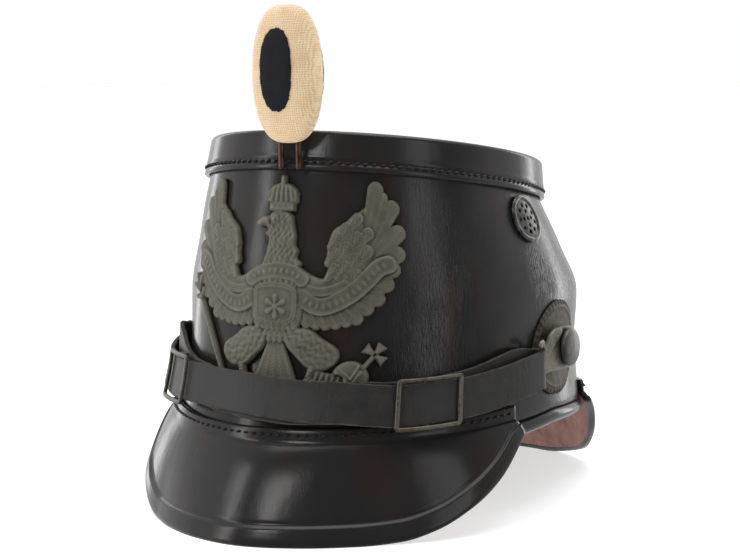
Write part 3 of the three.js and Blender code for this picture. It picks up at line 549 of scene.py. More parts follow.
def peak_section(reach, drop, bend_shares):
    """Outline of a peak's section as (out, up) from the stitch line, and which points are underneath"""
    start = np.array([flange_gap + flange_leather, 0.0])
    bend = start + np.array([bend_shares[0] * reach, -bend_shares[1] * drop])
    end = start + np.array([reach, -drop])

    def blade(t):
        t = np.asarray(t)[:, None]
        point = (1 - t) ** 2 * start + 2 * t * (1 - t) * bend + t**2 * end
        tangent = 2 * (1 - t) * (bend - start) + 2 * t * (end - bend)
        tangent /= np.linalg.norm(tangent, axis=1, keepdims=True)
        return point, np.stack([-tangent[:, 1], tangent[:, 0]], 1)

    size = math.hypot(reach, drop)
    border = min(border_width / size, 0.4)
    rise = border_rise * min(1, drop / 10)
    inside = (1 - blade_stops) / border
    welt = np.clip((1.22 - inside) / 0.22, 0, 1)
    welt = welt * welt * (3 - 2 * welt)
    round_off = np.sqrt(np.clip(1 - np.clip(1 - inside / 0.45, 0, 1) ** 2 * 0.96, 0, 1))
    groove = -0.25 * np.exp(-(((inside - 1.3) / 0.1) ** 2)) * min(1, drop / 10)
    top, normals = blade(blade_stops)
    face = top + normals * (rise * welt * (0.2 + 0.8 * round_off) + groove)[:, None]
    under_stops = np.linspace(0.2, 1, 16)
    low, low_normals = blade(under_stops)
    under = low - low_normals * peak_leather
    under[:, 1] = np.maximum(under[:, 1], -drop)
    flange = np.array(
        [
            [flange_gap, flange_height - 0.3],
            [flange_gap + 0.3, flange_height],
            [start[0] - 0.7, flange_height],
            [start[0] - 0.15, flange_height - 0.35],
            [start[0] + 0.05, flange_height - 1.2],
            [start[0], 2.6],
            [start[0], 1.2],
            [start[0] + 0.05, 0.5],
        ]
    )
    return np.concatenate([flange, face, under[::-1], [[flange_gap, -1.2]]]), len(flange) + len(face)


def peak(name, node, table, middle, half_angle, reach_size, steps):
    # One row mirrored to the other half, so that the middle has no crease
    at = (-table["at"][1], *table["at"])
    reach_share = smooth_column(at, (table["reach"][1], *table["reach"]))
    height_share = smooth_column(at, (table["height"][1], *table["height"]))
    sections = []
    for share in np.linspace(-1, 1, steps):
        angle = middle + share * half_angle
        stitch = body_point(angle, 0)[2]
        reach = reach_size * float(reach_share(abs(share)))
        drop = stitch * (1 - float(height_share(abs(share))))
        outline, top_points = peak_section(reach, drop, table["bend"])
        out, rise = outline[:, 0], outline[:, 1]
        upper, _ = on_body(np.full(len(out), angle), stitch + np.maximum(rise, 0), out)
        level = body_point(angle, 0, out)
        lower = body_point(angle, 0, out, (stitch + rise - level[:, 2]) / math.cos(foot_tilt))
        sections.append(np.where((rise > 0)[:, None], upper, lower))
    n = len(sections[0])
    faces = capped_faces(len(sections), n)
    look_of_face = [0 if i % n < top_points + 1 else 1 for i in range(len(faces) - 2)] + [0, 0]
    return piece(name, sections, faces, [cap_lacquer, peak_under], [node], look_of_face)


front_half_angle = math.radians(69.5)
rear_half_angle = math.radians(64.5)
front_peak_reach = 23.9
rear_peak_reach = 9.5
peak("front_peak_fine", "front_peak", front_peak_table, 0.0, front_half_angle, front_peak_reach, 181)
peak("rear_peak_fine", "rear_peak", rear_peak_table, math.pi, rear_half_angle, rear_peak_reach, 121)
flange_seam_lift = 2.1
flange_stitch = {"pitch": 3.9, "length": 2.9, "width": 0.9, "height": 0.7, "slant": 0.12}


def flange_seam(name, middle, half_angle):
    angles = np.linspace(middle - half_angle, middle + half_angle, 361)
    stitch = body_point(angles, 0)[:, 2]
    path, normals = on_body(angles, stitch + flange_seam_lift, flange_gap + flange_leather + 0.02)
    stitch_row(name, path, normals, **flange_stitch)


flange_seam("front_peak_stitches", 0.0, front_half_angle * 0.985)
flange_seam("rear_peak_stitches", math.pi, rear_half_angle * 0.97)


# Side vents
# A round pierced rosette on each side near the crown, pressed from sheet iron and japanned black,
# riveted over a hole through the body so that the hat can breathe.
vent_angle = math.radians(84)
vent_radius = 9.9
vent_bore = 7.0
vent_height = foot_height + body_height - vent_radius - 1.3
vent_arc = arc_radius(vent_angle, vent_height)


def japanned(name, tint_dark, tint_light, roughness):
    """Stoved black varnish on iron: black and smooth, grey where handling has rubbed it through. Given paler
    tints, the whole piece is lighter as a painted highlight.
    """
    look, tree, shader = new_look(name)
    wear = noise(tree, add(tree, "TexCoord").outputs["Object"], 2.5, 6.0, 0.7)
    tinted(tree, shader, wear, (0.45, tint_dark), (0.75, tint_light))
    bumped(tree, shader, (wear, 0.5, 0.12))
    set_shader(shader, Roughness=roughness, Metallic=0.35)
    return look


black_iron = japanned("black_iron", "#0b0b0c", "#4a4743", 0.3)
# The rosette's rim: the same japanned iron in paler, glossier tints. Its paler tone is painted highlight, on
# top of the rubbed wear
rim_iron_painted_highlight = japanned("rim_iron_painted_highlight", "#2a2a2a", "#77736c", 0.24)


def flat_plate(outlines, depth, bevel, longest):
    """A plate from closed outlines, with rounded edges; its points and faces in its own plane"""
    curve = bpy.data.curves.new("plate", "CURVE")
    curve.dimensions = "2D"
    curve.fill_mode = "BOTH"
    curve.extrude = depth / 2 - bevel
    curve.bevel_depth = bevel
    curve.bevel_resolution = 2
    curve.offset = -bevel
    for outline in outlines:
        line = curve.splines.new("POLY")
        line.points.add(len(outline) - 1)
        for spot, (x, y) in zip(line.points, outline):
            spot.co = (x, y, 0, 1)
        line.use_cyclic_u = True
    holder = bpy.data.objects.new("plate", curve)
    mesh = bpy.data.meshes.new_from_object(holder)
    body = bmesh.new()
    body.from_mesh(mesh)
    bmesh.ops.remove_doubles(body, verts=body.verts, dist=0.001)
    bmesh.ops.triangulate(body, faces=body.faces)
    for _ in range(6):
        long_edges = [e for e in body.edges if e.calc_length() > longest]
        if not long_edges:
            break
        bmesh.ops.subdivide_edges(body, edges=long_edges, cuts=1)
        bmesh.ops.triangulate(body, faces=body.faces)
    body.verts.index_update()
    points = np.array([v.co for v in body.verts], float)
    faces = [[v.index for v in f.verts] for f in body.faces]
    body.free()
    bpy.data.objects.remove(holder)
    bpy.data.meshes.remove(mesh)
    bpy.data.curves.remove(curve)
    return points, faces


def circle(x, y, radius, count):
    turns = [2 * math.pi * i / count for i in range(count)]
    return [(x + radius * math.cos(t), y + radius * math.sin(t)) for t in turns]


def bent_on_body(points, angle, height, arc):
    placed, _ = on_body(angle + points[:, 0] / arc, height + points[:, 1], points[:, 2])
    return placed


def lathe(profile, count):
    """Rings of points round the Z axis from (radius, height) pairs"""
    turns = np.linspace(0, 2 * math.pi, count, endpoint=False)
    return np.array([[(r * math.cos(t), r * math.sin(t), z) for t in turns] for r, z in profile])


grille_thickness = 0.8
vent_thickness = 1.6
# Rings of holes as radius of the ring, count, turn of the first one in steps, and radius of a hole
hole_rings = ((0.0, 1, 0.0, 0.9), (2.9, 4, 0.0, 0.85), (5.6, 9, 0.5, 0.95))
rim_sides = 72
cutter_sides = 40
for side, sign in (("left", 1), ("right", -1)):
    holes = []
    for ring_radius, count, first, radius in hole_rings:
        for k in range(count):
            turn = 2 * math.pi * (k + first) / count
            holes.append(circle(ring_radius * math.cos(turn), ring_radius * math.sin(turn), radius, 14))
    disc = circle(0, 0, vent_radius - 1.4, 64)
    points, faces = flat_plate([disc, *holes], grille_thickness, bevel=0.15, longest=1.6)
    dome = 0.5 * (1 - (np.hypot(points[:, 0], points[:, 1]) / vent_radius) ** 2)
    points[:, 2] += clearance + grille_thickness / 2 + dome
    rim_profile = [
        (vent_radius - 2.2 + 1.1 * (1 - math.cos(t)), clearance + vent_thickness / 2 + 0.8 * math.sin(t))
        for t in np.linspace(-math.pi, math.pi, 14, endpoint=False)
    ]
    rim = lathe(rim_profile, rim_sides)
    rim_faces = grid_faces(len(rim_profile), rim_sides, rows_closed=True, columns_closed=True)
    offset = len(points)
    points = np.concatenate([points, rim.reshape(-1, 3)])
    faces = faces + [[offset + i for i in face] for face in rim_faces]
    placed = bent_on_body(points, sign * vent_angle, vent_height, vent_arc)
    # The rim takes the paler iron, a painted highlight
    look_of_vent = [0] * (len(faces) - len(rim_faces)) + [1] * len(rim_faces)
    looks = [black_iron, rim_iron_painted_highlight]
    piece(f"vent_{side}_fine", placed, faces, looks, [f"vent_{side}"], look_of_vent)
    # The hole through the body behind the rosette
    cutter_rings = lathe([(vent_bore, -8.0), (vent_bore, 6.0)], cutter_sides)
    cutter_points = bent_on_body(cutter_rings.reshape(-1, 3), sign * vent_angle, vent_height, vent_arc)
    cutter_mesh = bpy.data.meshes.new("vent_cutter")
    cutter_mesh.from_pydata((cutter_points * MM).tolist(), [], capped_faces(2, cutter_sides))
    cutter_body = bmesh.new()
    cutter_body.from_mesh(cutter_mesh)
    bmesh.ops.recalc_face_normals(cutter_body, faces=cutter_body.faces)
    cutter_body.to_mesh(cutter_mesh)
    cutter_body.free()
    cutter = bpy.data.objects.new("vent_cutter", cutter_mesh)
    bpy.context.scene.collection.objects.link(cutter)
    cut = body_shell.modifiers.new("vent_hole", "BOOLEAN")
    cut.operation = "DIFFERENCE"
    cut.solver = "EXACT"
    cut.object = cutter
    bpy.context.view_layer.update()
    pierced = body_shell.evaluated_get(bpy.context.evaluated_depsgraph_get())
    cut_mesh = bpy.data.meshes.new_from_object(pierced)
    body_shell.modifiers.clear()
    body_shell.data = cut_mesh
    bpy.data.objects.remove(cutter)
    bpy.data.meshes.remove(cutter_mesh)


# Chin strap
# One band of soft black leather, doubled through the two end fittings, its ends meeting under
# the slider buckles. It lies over the front of the body and bows away from it near the sides.
strap_height = foot_height + 10.2
strap_width = 16.6
strap_leather = 1.9
strap_fold = math.radians(76.0)
strap_angle = (-76, -68, -59, -49, -38, -27, -12, 6, 22, 34, 52, 62, 70, 76)
strap_outer_up = (0.32, 0.20, 0.13, 0.12, 0.11, 0.12, 0.09, -0.03, -0.11, -0.19, -0.08, 0.07, 0.20, 0.32)
strap_outer_out = (4.0, 4.7, 4.3, 3.6, 3.65, 3.95, 3.89, 3.89, 4.00, 4.53, 4.74, 4.4, 4.2, 4.0)
strap_inner_up = (0.36, 0.66, 0.79, 0.49, 0.25, 0.16, 0.01, -0.10, -0.09, -0.09, 0.07, 0.30, 0.43, 0.36)
strap_inner_out = (1.6, 2.5, 2.4, 1.4, 1.35, 2.4, 2.63, 2.63, 2.63, 2.42, 2.32, 2.1, 1.9, 1.6)


def strap_column(values, size, start):
    curve = smooth_column([math.radians(a) for a in strap_angle], values)
    return lambda angle: start + size * curve(angle)


outer_up = strap_column(strap_outer_up, strap_width, strap_height)
outer_out = strap_column(strap_outer_out, strap_leather, 0)
inner_up = strap_column(strap_inner_up, strap_width, strap_height)
inner_out = strap_column(strap_inner_out, strap_leather, 0)
fold_rise = float(outer_out(strap_fold) - inner_out(strap_fold)) / 2


# Bridle leather: dyed through and waxed, dull black, with the grain showing and pale rubbed edges
def bridle_leather():
    look, tree, shader = new_look("bridle_leather")
    place = add(tree, "TexCoord").outputs["Object"]
    grain = add(tree, "TexVoronoi", [("Vector", place)], in_Scale=1 / (0.9 * MM)).outputs["Distance"]
    rubbed = noise(tree, place, 7, 8.0, 0.75)
    worn = add(tree, "Attribute", attribute_name="worn_edge").outputs["Fac"]
    both = combined(tree, "ADD", rubbed, combined(tree, "MULTIPLY", rubbed, worn))
    tinted(tree, shader, both, (0.3, "#1f1e1e"), (0.62, "#292726"), (1.0, "#4a443e"))
    matt = combined(tree, "MAXIMUM", worn, ranged(tree, rubbed, 0.38, 0.6))
    tree.links.new(matt, shader.inputs["Roughness"])
    tree.links.new(ranged(tree, worn, 0.5, 0.08), shader.inputs["Specular IOR Level"])
    upright = add(tree, "Mapping", [("Vector", place)], in_Scale=(1, 1, 0.15)).outputs["Vector"]
    creases = noise(tree, upright, 2.2, 5.0)
    bumped(tree, shader, (grain, 0.35, 0.12), (creases, 0.5, 0.25))
    set_shader(shader, IOR=1.4)
    return look


strap_look = bridle_leather()

# Section of the band as (across its width, through its thickness), from -1 to 1
edge_radius = 0.5
edge_across = edge_radius / (strap_width / 2)
edge_through = edge_radius / (strap_leather / 2)
# Corners of a rounded box: the side each lies on, and where its quarter turn starts
corner_turns = ((1, 1, 0), (-1, 1, 90), (-1, -1, 180), (1, -1, 270))
strap_section = []
for side_across, side_through, start in corner_turns:
    for turn in np.radians(np.linspace(start, start + 90, 6)):
        across = side_across * (1 - edge_across) + edge_across * math.cos(turn)
        through = side_through * (1 - edge_through) + edge_through * math.sin(turn)
        strap_section.append((across, through))
    if side_across == side_through:
        for across in np.linspace(0.9, -0.9, 9):
            strap_section.append((side_across * across, side_through))
strap_section = np.array(strap_section)

stations = []
layer_steps = 240
fold_steps = 14
for angle in np.linspace(-strap_fold, strap_fold, layer_steps):
    stations.append((angle, float(outer_up(angle)), float(outer_out(angle)), 0.0))


def fold_stations(sign):
    ends = (outer_out, inner_out, outer_up, inner_up)
    first, last, up_first, up_last = (float(end(sign * strap_fold)) for end in ends)
    if sign < 0:
        first, last, up_first, up_last = last, first, up_last, up_first
    for share in np.linspace(0, 1, fold_steps)[1:-1]:
        turn = math.pi * share
        reach = fold_rise * math.sin(turn) / (foot_width / 2)
        yield (
            sign * (strap_fold + reach),
            up_first + (up_last - up_first) * share,
            first + (last - first) * (1 - math.cos(turn)) / 2,
            turn if sign > 0 else math.pi + turn,
        )


stations += list(fold_stations(1))
for angle in np.linspace(strap_fold, -strap_fold, layer_steps):
    stations.append((angle, float(inner_up(angle)), float(inner_out(angle)), math.pi))
stations += list(fold_stations(-1))
strap_rings, strap_worn = [], []
half = strap_leather / 2
across, through = strap_section[:, 0], strap_section[:, 1]
for number, (angle, up, out, lean) in enumerate(stations):
    ragged = 0.08 * math.sin(number * 0.31) + 0.05 * math.sin(number * 0.83 + 1)
    ragged += 0.04 * math.sin(number * 1.9)
    up_wave = 0.12 * math.sin(number * 0.17 + 0.6)
    wavy_edge = np.where(across > 0, ragged, -ragged) * np.abs(across) ** 4
    height = up + across * (strap_width / 2 + wavy_edge) + up_wave
    turn = angle + through * half * math.sin(lean) / (foot_width / 2)
    placed, _ = on_body(turn, height, out + through * half * math.cos(lean))
    strap_rings.append(placed)
    strap_worn.append(np.clip((np.abs(across) - 0.93) / 0.05, 0, 1))
strap = piece(
    "chin_strap_fine",
    strap_rings,
    grid_faces(len(stations), len(strap_section), rows_closed=True, columns_closed=True),
    [strap_look],
    ["chin_strap"],
)
worn_edge = strap.data.attributes.new("worn_edge", "FLOAT", "POINT")
worn_edge.data.foreach_set("value", np.concatenate(strap_worn).astype(np.float32))


# Slider buckles
# Cast steel frames with rounded corners and one hidden middle bar, which the band runs over.
# They were blacked once and have rubbed to grey with brown rust in the corners.
buckle_length = 24.8
buckle_bar = 1.7
buckle_thickness = 1.6


def rusted_steel(name, dark, mid, rust, roughness):
    look, tree, shader = new_look(name)
    place = add(tree, "TexCoord").outputs["Object"]
    patches = noise(tree, place, 5, 8.0, 0.7)
    tinted(tree, shader, patches, (0.35, dark), (0.5, mid), (0.68, rust))
    tree.links.new(ranged(tree, patches, roughness - 0.1, roughness + 0.25), shader.inputs["Roughness"])
    bumped(tree, shader, (noise(tree, place, 0.7, 5.0), 0.5, 0.15))
    set_shader(shader, Metallic=0.85)
    return look


buckle_steel = rusted_steel("buckle_steel", "#474540", "#6d695f", "#5a5044", 0.4)


def swept(path, closed, half_wide, half_thick, count=14, power=0.55):
    """A bar with a rounded section swept along flat points (x, y, z)"""
    path = np.asarray(path, float)
    if closed:
        ahead = np.roll(path, -1, 0) - np.roll(path, 1, 0)
    else:
        ahead = np.gradient(path, axis=0)
    ahead /= np.linalg.norm(ahead, axis=1, keepdims=True)
    side = np.stack([ahead[:, 1], -ahead[:, 0], np.zeros(len(path))], 1)
    side /= np.linalg.norm(side, axis=1, keepdims=True)
    top = np.cross(side, ahead)
    turns = np.linspace(0, 2 * math.pi, count, endpoint=False)
    wide = np.sign(np.cos(turns)) * np.abs(np.cos(turns)) ** power * half_wide
    thick = np.sign(np.sin(turns)) * np.abs(np.sin(turns)) ** power * half_thick
    rings = path[:, None] + side[:, None] * wide[None, :, None] + top[:, None] * thick[None, :, None]
    if closed:
        faces = grid_faces(len(path), count, rows_closed=True, columns_closed=True)
    else:
        faces = capped_faces(len(path), count)
    return rings.reshape(-1, 3), faces


def joined(parts):
    points, faces = [], []
    for part_points, part_faces in parts:
        first = sum(len(p) for p in points)
        points.append(part_points)
        faces += [[first + i for i in face] for face in part_faces]
    return np.concatenate(points), faces


def rounded_box_path(half_x, half_y, radius, z, step=0.8):
    path = []
    for sx, sy, start in corner_turns:
        for k in range(7):
            turn = math.radians(start + 15 * k)
            x = sx * (half_x - radius) + radius * math.cos(turn)
            path.append((x, sy * (half_y - radius) + radius * math.sin(turn)))
    dense = []
    for (x0, y0), (x1, y1) in zip(path, path[1:] + path[:1]):
        count = max(1, int(math.hypot(x1 - x0, y1 - y0) / step))
        dense += [(x0 + (x1 - x0) * k / count, y0 + (y1 - y0) * k / count, z) for k in range(count)]
    return dense


buckle_inner = strap_width / 2 + clearance + 0.1
buckle_outer = buckle_inner + buckle_bar
buckle_middle = (buckle_inner + buckle_outer) / 2
frame_middle = strap_leather / 2 + clearance + buckle_thickness / 2
bar_level = -strap_leather / 2 - clearance - 0.65
leg_rows, leg_sides = 6, 12
for side, degrees in (("left", 41.8), ("right", -38.0)):
    outline = rounded_box_path(buckle_length / 2 - buckle_bar / 2, buckle_middle, 0.9, frame_middle)
    middle_bar = [(0.0, y, bar_level) for y in np.linspace(-buckle_outer + 0.8, buckle_outer - 0.8, 24)]
    parts = [swept(outline, True, buckle_bar / 2, buckle_thickness / 2), swept(middle_bar, False, 1.1, 0.6)]
    turns = np.linspace(0, 2 * math.pi, leg_sides, endpoint=False)
    heights = np.linspace(bar_level - 0.5, frame_middle + 0.4, leg_rows)
    for edge in (-1, 1):
        at = edge * buckle_middle
        leg = np.array([[(1.15 * math.cos(t), at + 0.9 * math.sin(t), z) for t in turns] for z in heights])
        parts.append((leg.reshape(-1, 3), capped_faces(leg_rows, leg_sides)))
    points, faces = joined(parts)
    angle = math.radians(degrees)
    arc = arc_radius(angle, float(outer_up(angle)))
    at = angle + points[:, 0] / arc
    placed, _ = on_body(at, outer_up(at) + points[:, 1], outer_out(at) + points[:, 2])
    piece(f"buckle_{side}_fine", placed, faces, [buckle_steel], [f"buckle_{side}"])


# Side cockades, strap fittings and posts
# On each side a pressed metal cockade lies on the body under a domed black post. The strap's end
# fitting is a flat steel loop with an eye, which hangs over the post's stem.
post_angle = math.radians(89.5)
cockade_radius = 19.6
post_stem = 4.0
post_cap = 7.85
post_standoff = 6.2
post_rise = 3.3
roll_top = foot_height - foot_lip - clearance
post_height = roll_top + cockade_radius + 5.6
post_arc = arc_radius(post_angle, post_height)
cockade_thickness = 1.3
fitting_thickness = 1.6
fitting_out = float(outer_out(strap_fold) + inner_out(strap_fold)) / 2
post_look = japanned("post_iron", "#3d3d3a", "#5d5b55", 0.36)
cockade_look = rusted_steel("cockade_metal", "#302d29", "#5a544d", "#443b33", 0.5)
fitting_look = rusted_steel("fitting_steel", "#55534c", "#7b786e", "#5a4f43", 0.4)
cockade_sides = 168
cockade_notches = 42
cockade_inner = post_stem + clearance
post_sides = 48
# Outline of the strap's end fitting ahead of the eye, and its hook as (ahead, up, out)
forward = [
    (6, 9.3), (11, 9.0), (14.4, 6.8), (16.4, 2.6), (17.6, 0.6), (18.0, -4.0), (17.4, -9.8), (15.4, -9.0),
    (7, -9.2),
]
hook = [
    (15.5, -0.6, 0.2), (18.5, 1.6, 0.9), (20.6, 3.9, 1.6), (22.4, 5.0, 2.3), (24.0, 4.6, 3.0),
    (24.6, 3.0, 3.3),
]
for side, sign in (("left", 1), ("right", -1)):
    turns = np.linspace(0, 2 * math.pi, cockade_sides, endpoint=False)
    radii = np.concatenate([np.linspace(cockade_inner, 15.2, 10), np.linspace(15.8, cockade_radius, 15)])
    rings = []
    for radius in radii:
        share = radius / cockade_radius
        notch = 0.5 * (1 + np.cos(turns * cockade_notches))
        face = np.full(cockade_sides, cockade_thickness - 0.15)
        if 17.2 < radius < 20.4:
            face = face - 0.55 * notch * math.sin((radius - 17.2) / 3.2 * math.pi)
        face += 0.25 * math.exp(-(((radius - 16.6) / 0.5) ** 2))
        face += 0.2 * math.exp(-(((radius - 20.9) / 0.5) ** 2))
        face += 0.12 * math.sin(share * 30) * (radius < 15)
        rim = radius
        if radius > cockade_radius - 0.6:
            face = face - 0.35
            rim = radius - 0.25 * (1 - np.cos(turns * cockade_notches)) / 2
        rings.append(np.stack([rim * np.cos(turns), rim * np.sin(turns), clearance + face], 1))
    for radius in (cockade_radius - 0.2, cockade_inner):
        low = np.full(cockade_sides, clearance)
        rings.append(np.stack([radius * np.cos(turns), radius * np.sin(turns), low], 1))
    points = np.array(rings).reshape(-1, 3)
    placed = bent_on_body(points, sign * post_angle, post_height, post_arc)
    faces = grid_faces(len(rings), cockade_sides, rows_closed=True, columns_closed=True)
    piece(f"cockade_{side}_fine", placed, faces, [cockade_look], [f"cockade_{side}"])

    profile = [
        (0.001, 0.0),
        (post_stem, 0.0),
        (post_stem, 1.0),
        (post_stem - 0.5, 1.6),
        (post_stem - 0.5, post_standoff - 1.0),
        (post_stem + 0.4, post_standoff - 0.3),
        (post_cap - 1.2, post_standoff),
        (post_cap - 0.25, post_standoff + 0.2),
        (post_cap, post_standoff + 0.6),
        (post_cap, post_standoff + 1.7),
        (post_cap - 0.2, post_standoff + 2.15),
        (post_cap - 0.7, post_standoff + 2.55),
        (post_cap - 1.3, post_standoff + 2.8),
        (post_cap * 0.6, post_standoff + 3.05),
        (post_cap * 0.3, post_standoff + 3.22),
        (0.001, post_standoff + post_rise),
    ]
    rings = lathe(profile, post_sides)
    foot, normal = on_body(sign * post_angle, post_height, clearance)
    turn = Vector((0, 0, 1)).rotation_difference(Vector(normal)).to_matrix()
    points = rings.reshape(-1, 3) @ np.array(turn).T + foot
    faces = grid_faces(len(profile), post_sides, columns_closed=True)
    piece(f"side_post_{side}_fine", points, faces, [post_look], [f"side_post_{side}"])

    # The strap's end fitting: a pressed plate with an eye over the stem, its front end through the
    # strap's fold, and a small curled hook over the strap's upper edge
    back = [(9.2 * math.cos(t), 9.2 * math.sin(t)) for t in np.radians(np.linspace(-90, -270, 21))]
    outline = [(-sign * x, y) for x, y in forward + back]
    eye_hole = circle(0, 0, post_stem + 1.0, 32)
    points, faces = flat_plate([outline, eye_hole], fitting_thickness, bevel=0.35, longest=1.8)
    reach = -sign * points[:, 0]
    along_rib = np.clip(((reach - 13.4) * (6.8 - 13.4) + (points[:, 1] - 1.4) * (7.0 - 1.4)) / 74.9, 0, 1)
    to_rib = np.hypot(reach - 13.4 + 6.6 * along_rib, points[:, 1] - 1.4 - 5.6 * along_rib)
    rib = 0.7 * np.exp(-((to_rib / 1.1) ** 2))
    points[:, 2] += fitting_out + rib - 0.25 * np.exp(-(((to_rib - 2.4) / 0.9) ** 2))
    hook_path = np.array([(-sign * x, y, fitting_out + z) for x, y, z in hook])
    fine_path = np.array([np.interp(np.linspace(0, 5, 26), range(6), hook_path[:, k]) for k in range(3)]).T
    hook_points, hook_faces = swept(fine_path, False, 1.15, 0.75, power=1.0)
    points, faces = joined([(points, faces), (hook_points, hook_faces)])
    placed = bent_on_body(points, sign * post_angle, post_height, post_arc)
    name = f"strap_fitting_{side}"
    piece(f"{name}_fine", placed, faces, [fitting_look], [name])


# Heraldic plate
# A spread eagle with a crown, a plain scroll, a shield, a sceptre and an orb, stamped from sheet
# steel in one piece and now grey-brown with age. It is wired to the front of the body.
badge_foot = foot_height + 1.8
badge_gap = 0.6
badge_plate = 1.2
badge_arc = 81.0
relief_step = 0.4
grid_u = np.arange(-56, 56.01, relief_step)
grid_v = np.arange(-1, 99.01, relief_step)
field_u, field_v = np.meshgrid(grid_u, grid_v)
plate_inside = np.full(field_u.shape, -9.0)
plate_height = np.zeros(field_u.shape)


def smooth_step(value, low, high):
    t = np.clip((value - low) / (high - low), 0, 1)
    return t * t * (3 - 2 * t)


def curve_at(a, b, c, d, t):
    """Point between b and c of the smooth curve through all four"""
    bend = 2 * a - 5 * b + 4 * c - d
    return 0.5 * (2 * b + (c - a) * t + bend * t * t + (3 * b - a - 3 * c + d) * t**3)


def rounded(points, steps=6):
    """A closed curve through the points"""
    p = np.asarray(points, float)
    result = []
    for i in range(len(p)):
        a, b, c, d = p[i - 1], p[i], p[(i + 1) % len(p)], p[(i + 2) % len(p)]
        result += [curve_at(a, b, c, d, t) for t in np.linspace(0, 1, steps, endpoint=False)]
    return np.array(result)


def mirrored(points, side):
    """The points as they are for side 1, and across the middle for side -1"""
    return [(side * x, y) for x, y in points]


def polygon_depth(points):
    """Signed distance into a closed outline, over the whole field"""
    p = np.asarray(points, float)
    near = np.full(field_u.shape, 1e9)
    odd = np.zeros(field_u.shape, bool)
    for (x0, y0), (x1, y1) in zip(p, np.roll(p, -1, 0)):
        ex, ey = x1 - x0, y1 - y0
        wx, wy = field_u - x0, field_v - y0
        t = np.clip((wx * ex + wy * ey) / (ex * ex + ey * ey + 1e-12), 0, 1)
        near = np.minimum(near, (wx - ex * t) ** 2 + (wy - ey * t) ** 2)
        crosses = (y0 > field_v) != (y1 > field_v)
        odd ^= crosses & (field_u < ex * (field_v - y0) / (ey if ey else 1e-12) + x0)
    return np.where(odd, 1, -1) * np.sqrt(near)


def strip_fields(x0, y0, x1, y1, root, tip):
    """Depth into a tapering bar with a round tip, and the distances along and across it"""
    length = math.hypot(x1 - x0, y1 - y0)
    ux, uy = (x1 - x0) / length, (y1 - y0) / length
    along = (field_u - x0) * ux + (field_v - y0) * uy
    across = -(field_u - x0) * uy + (field_v - y0) * ux
    t = np.clip(along / length, 0, 1)
    half = root + (tip - root) * t
    depth = half - np.hypot(along - t * length, across)
    return depth, along, across, half


def lay(depth, height, edge=0.45):
    """Lay one form over what is below it, with a soft step at its edge"""
    global plate_inside, plate_height
    cover = smooth_step(depth, -0.12, edge)
    plate_height = plate_height * (1 - cover) + height * cover
    plate_inside = np.maximum(plate_inside, depth)


def feather(x0, y0, x1, y1, half, level, barbs=1.25):
    depth, along, across, width = strip_fields(x0, y0, x1, y1, 0.6 * half, half)
    share = np.clip(np.abs(across) / width, 0, 1)
    shaft = 0.12 * np.exp(-((across / 0.3) ** 2))
    rim = 0.22 * np.exp(-(((depth - 0.4) / 0.3) ** 2))
    wave = np.cos(2 * math.pi * (along - 1.1 * np.abs(across)) / barbs)
    strokes = 0.13 * wave * smooth_step(depth, 0.4, 0.9)
    lay(depth, level + 0.35 * (1 - share**2) + shaft + rim + strokes)


# One side's wing in millimetres from the tail's foot: the sheet that carries the feathers, then
# the feathers from the lowest to the highest as root, tip and half width
wing_sheet = (
    (8, 47), (8, 60), (12.5, 59), (15.4, 57.4), (19.1, 56.5), (21.4, 60), (20.8, 65), (21.6, 70.3),
    (23.6, 75.2), (28.4, 78.3), (33, 81.6), (36.5, 84), (42, 86), (46.5, 78), (48.6, 71), (47.5, 63),
    (46, 56), (42, 49), (36, 43.5), (30, 39.8), (24, 38.6), (16, 38.6), (9, 39.5),
)
wing_feathers = (
    (11, 45, 12.8, 38.6, 2.2), (14, 45, 16.6, 38.2, 2.3), (17, 45, 20.4, 38.2, 2.4),
    (20, 46, 24.4, 38.6, 2.4), (23, 47, 28.4, 39.4, 2.5), (26, 47, 32.4, 40.6, 2.8),
    (28, 49, 36.2, 44.4, 2.9), (30, 51, 40.2, 48.2, 3.1), (33, 53, 43.6, 53.8, 3.3),
    (37, 57, 46.2, 59.4, 3.4), (39, 60, 48.6, 65.2, 3.5), (38.5, 63, 49.4, 73.4, 3.6),
    (37.5, 67, 47.8, 83.2, 3.6), (37.5, 69, 44.4, 87.6, 2.4), (36, 70, 41.6, 90.8, 3.5),
)
# The shoulder's sheet, and its scales as tip and half width
shoulder_sheet = (
    (8, 48), (8, 60), (12.5, 58.9), (15.4, 57.4), (19.1, 56.3), (21.4, 59.8), (20.5, 64.8), (21.3, 70.3),
    (23.3, 75.4), (28.3, 78.5), (32.9, 82.0), (35.4, 79), (36, 73), (38.4, 67), (38, 60), (33, 54),
    (27, 50), (18, 47),
)
scales = (
    (33.4, 79.6, 2.6), (37.4, 73.6, 2.6), (28.8, 75.6, 3.0), (33.0, 71.6, 3.2), (24.8, 72.2, 2.8),
    (36.6, 66.6, 2.8), (28.6, 67.8, 3.2), (32.2, 63.6, 3.0), (23.8, 65.8, 2.9), (27.8, 60.6, 2.9),
    (32.6, 57.8, 2.4), (23.8, 60.0, 2.6), (27.6, 55.6, 2.2),
)
for side in (1, -1):
    depth = polygon_depth(rounded(mirrored(wing_sheet, side), 4))
    lay(depth, 0.6)
    for x0, y0, x1, y1, half in wing_feathers:
        feather(side * x0, y0, side * x1, y1, half, 0.75)
    depth = polygon_depth(rounded(mirrored(shoulder_sheet, side), 4))
    lay(depth, 1.2 + 0.5 * np.sqrt(np.clip(depth / 5, 0, 1)))
    for x, y, half in scales:
        feather(side * (x - 2.6), y - 3.4, side * x, y, half, 1.5, 0.9)

# Tail fan
for x0, y0, x1, y1, half in (
    (-2.5, 30, -11.8, 4.2, 2.4), (2.5, 30, 11.8, 4.2, 2.4), (-1.5, 30, -6.2, 2.4, 2.5),
    (1.5, 30, 6.2, 2.4, 2.5), (0, 30, 0, 1.8, 2.6),
):
    feather(x0, y0, x1, y1, half, 0.8, 1.4)

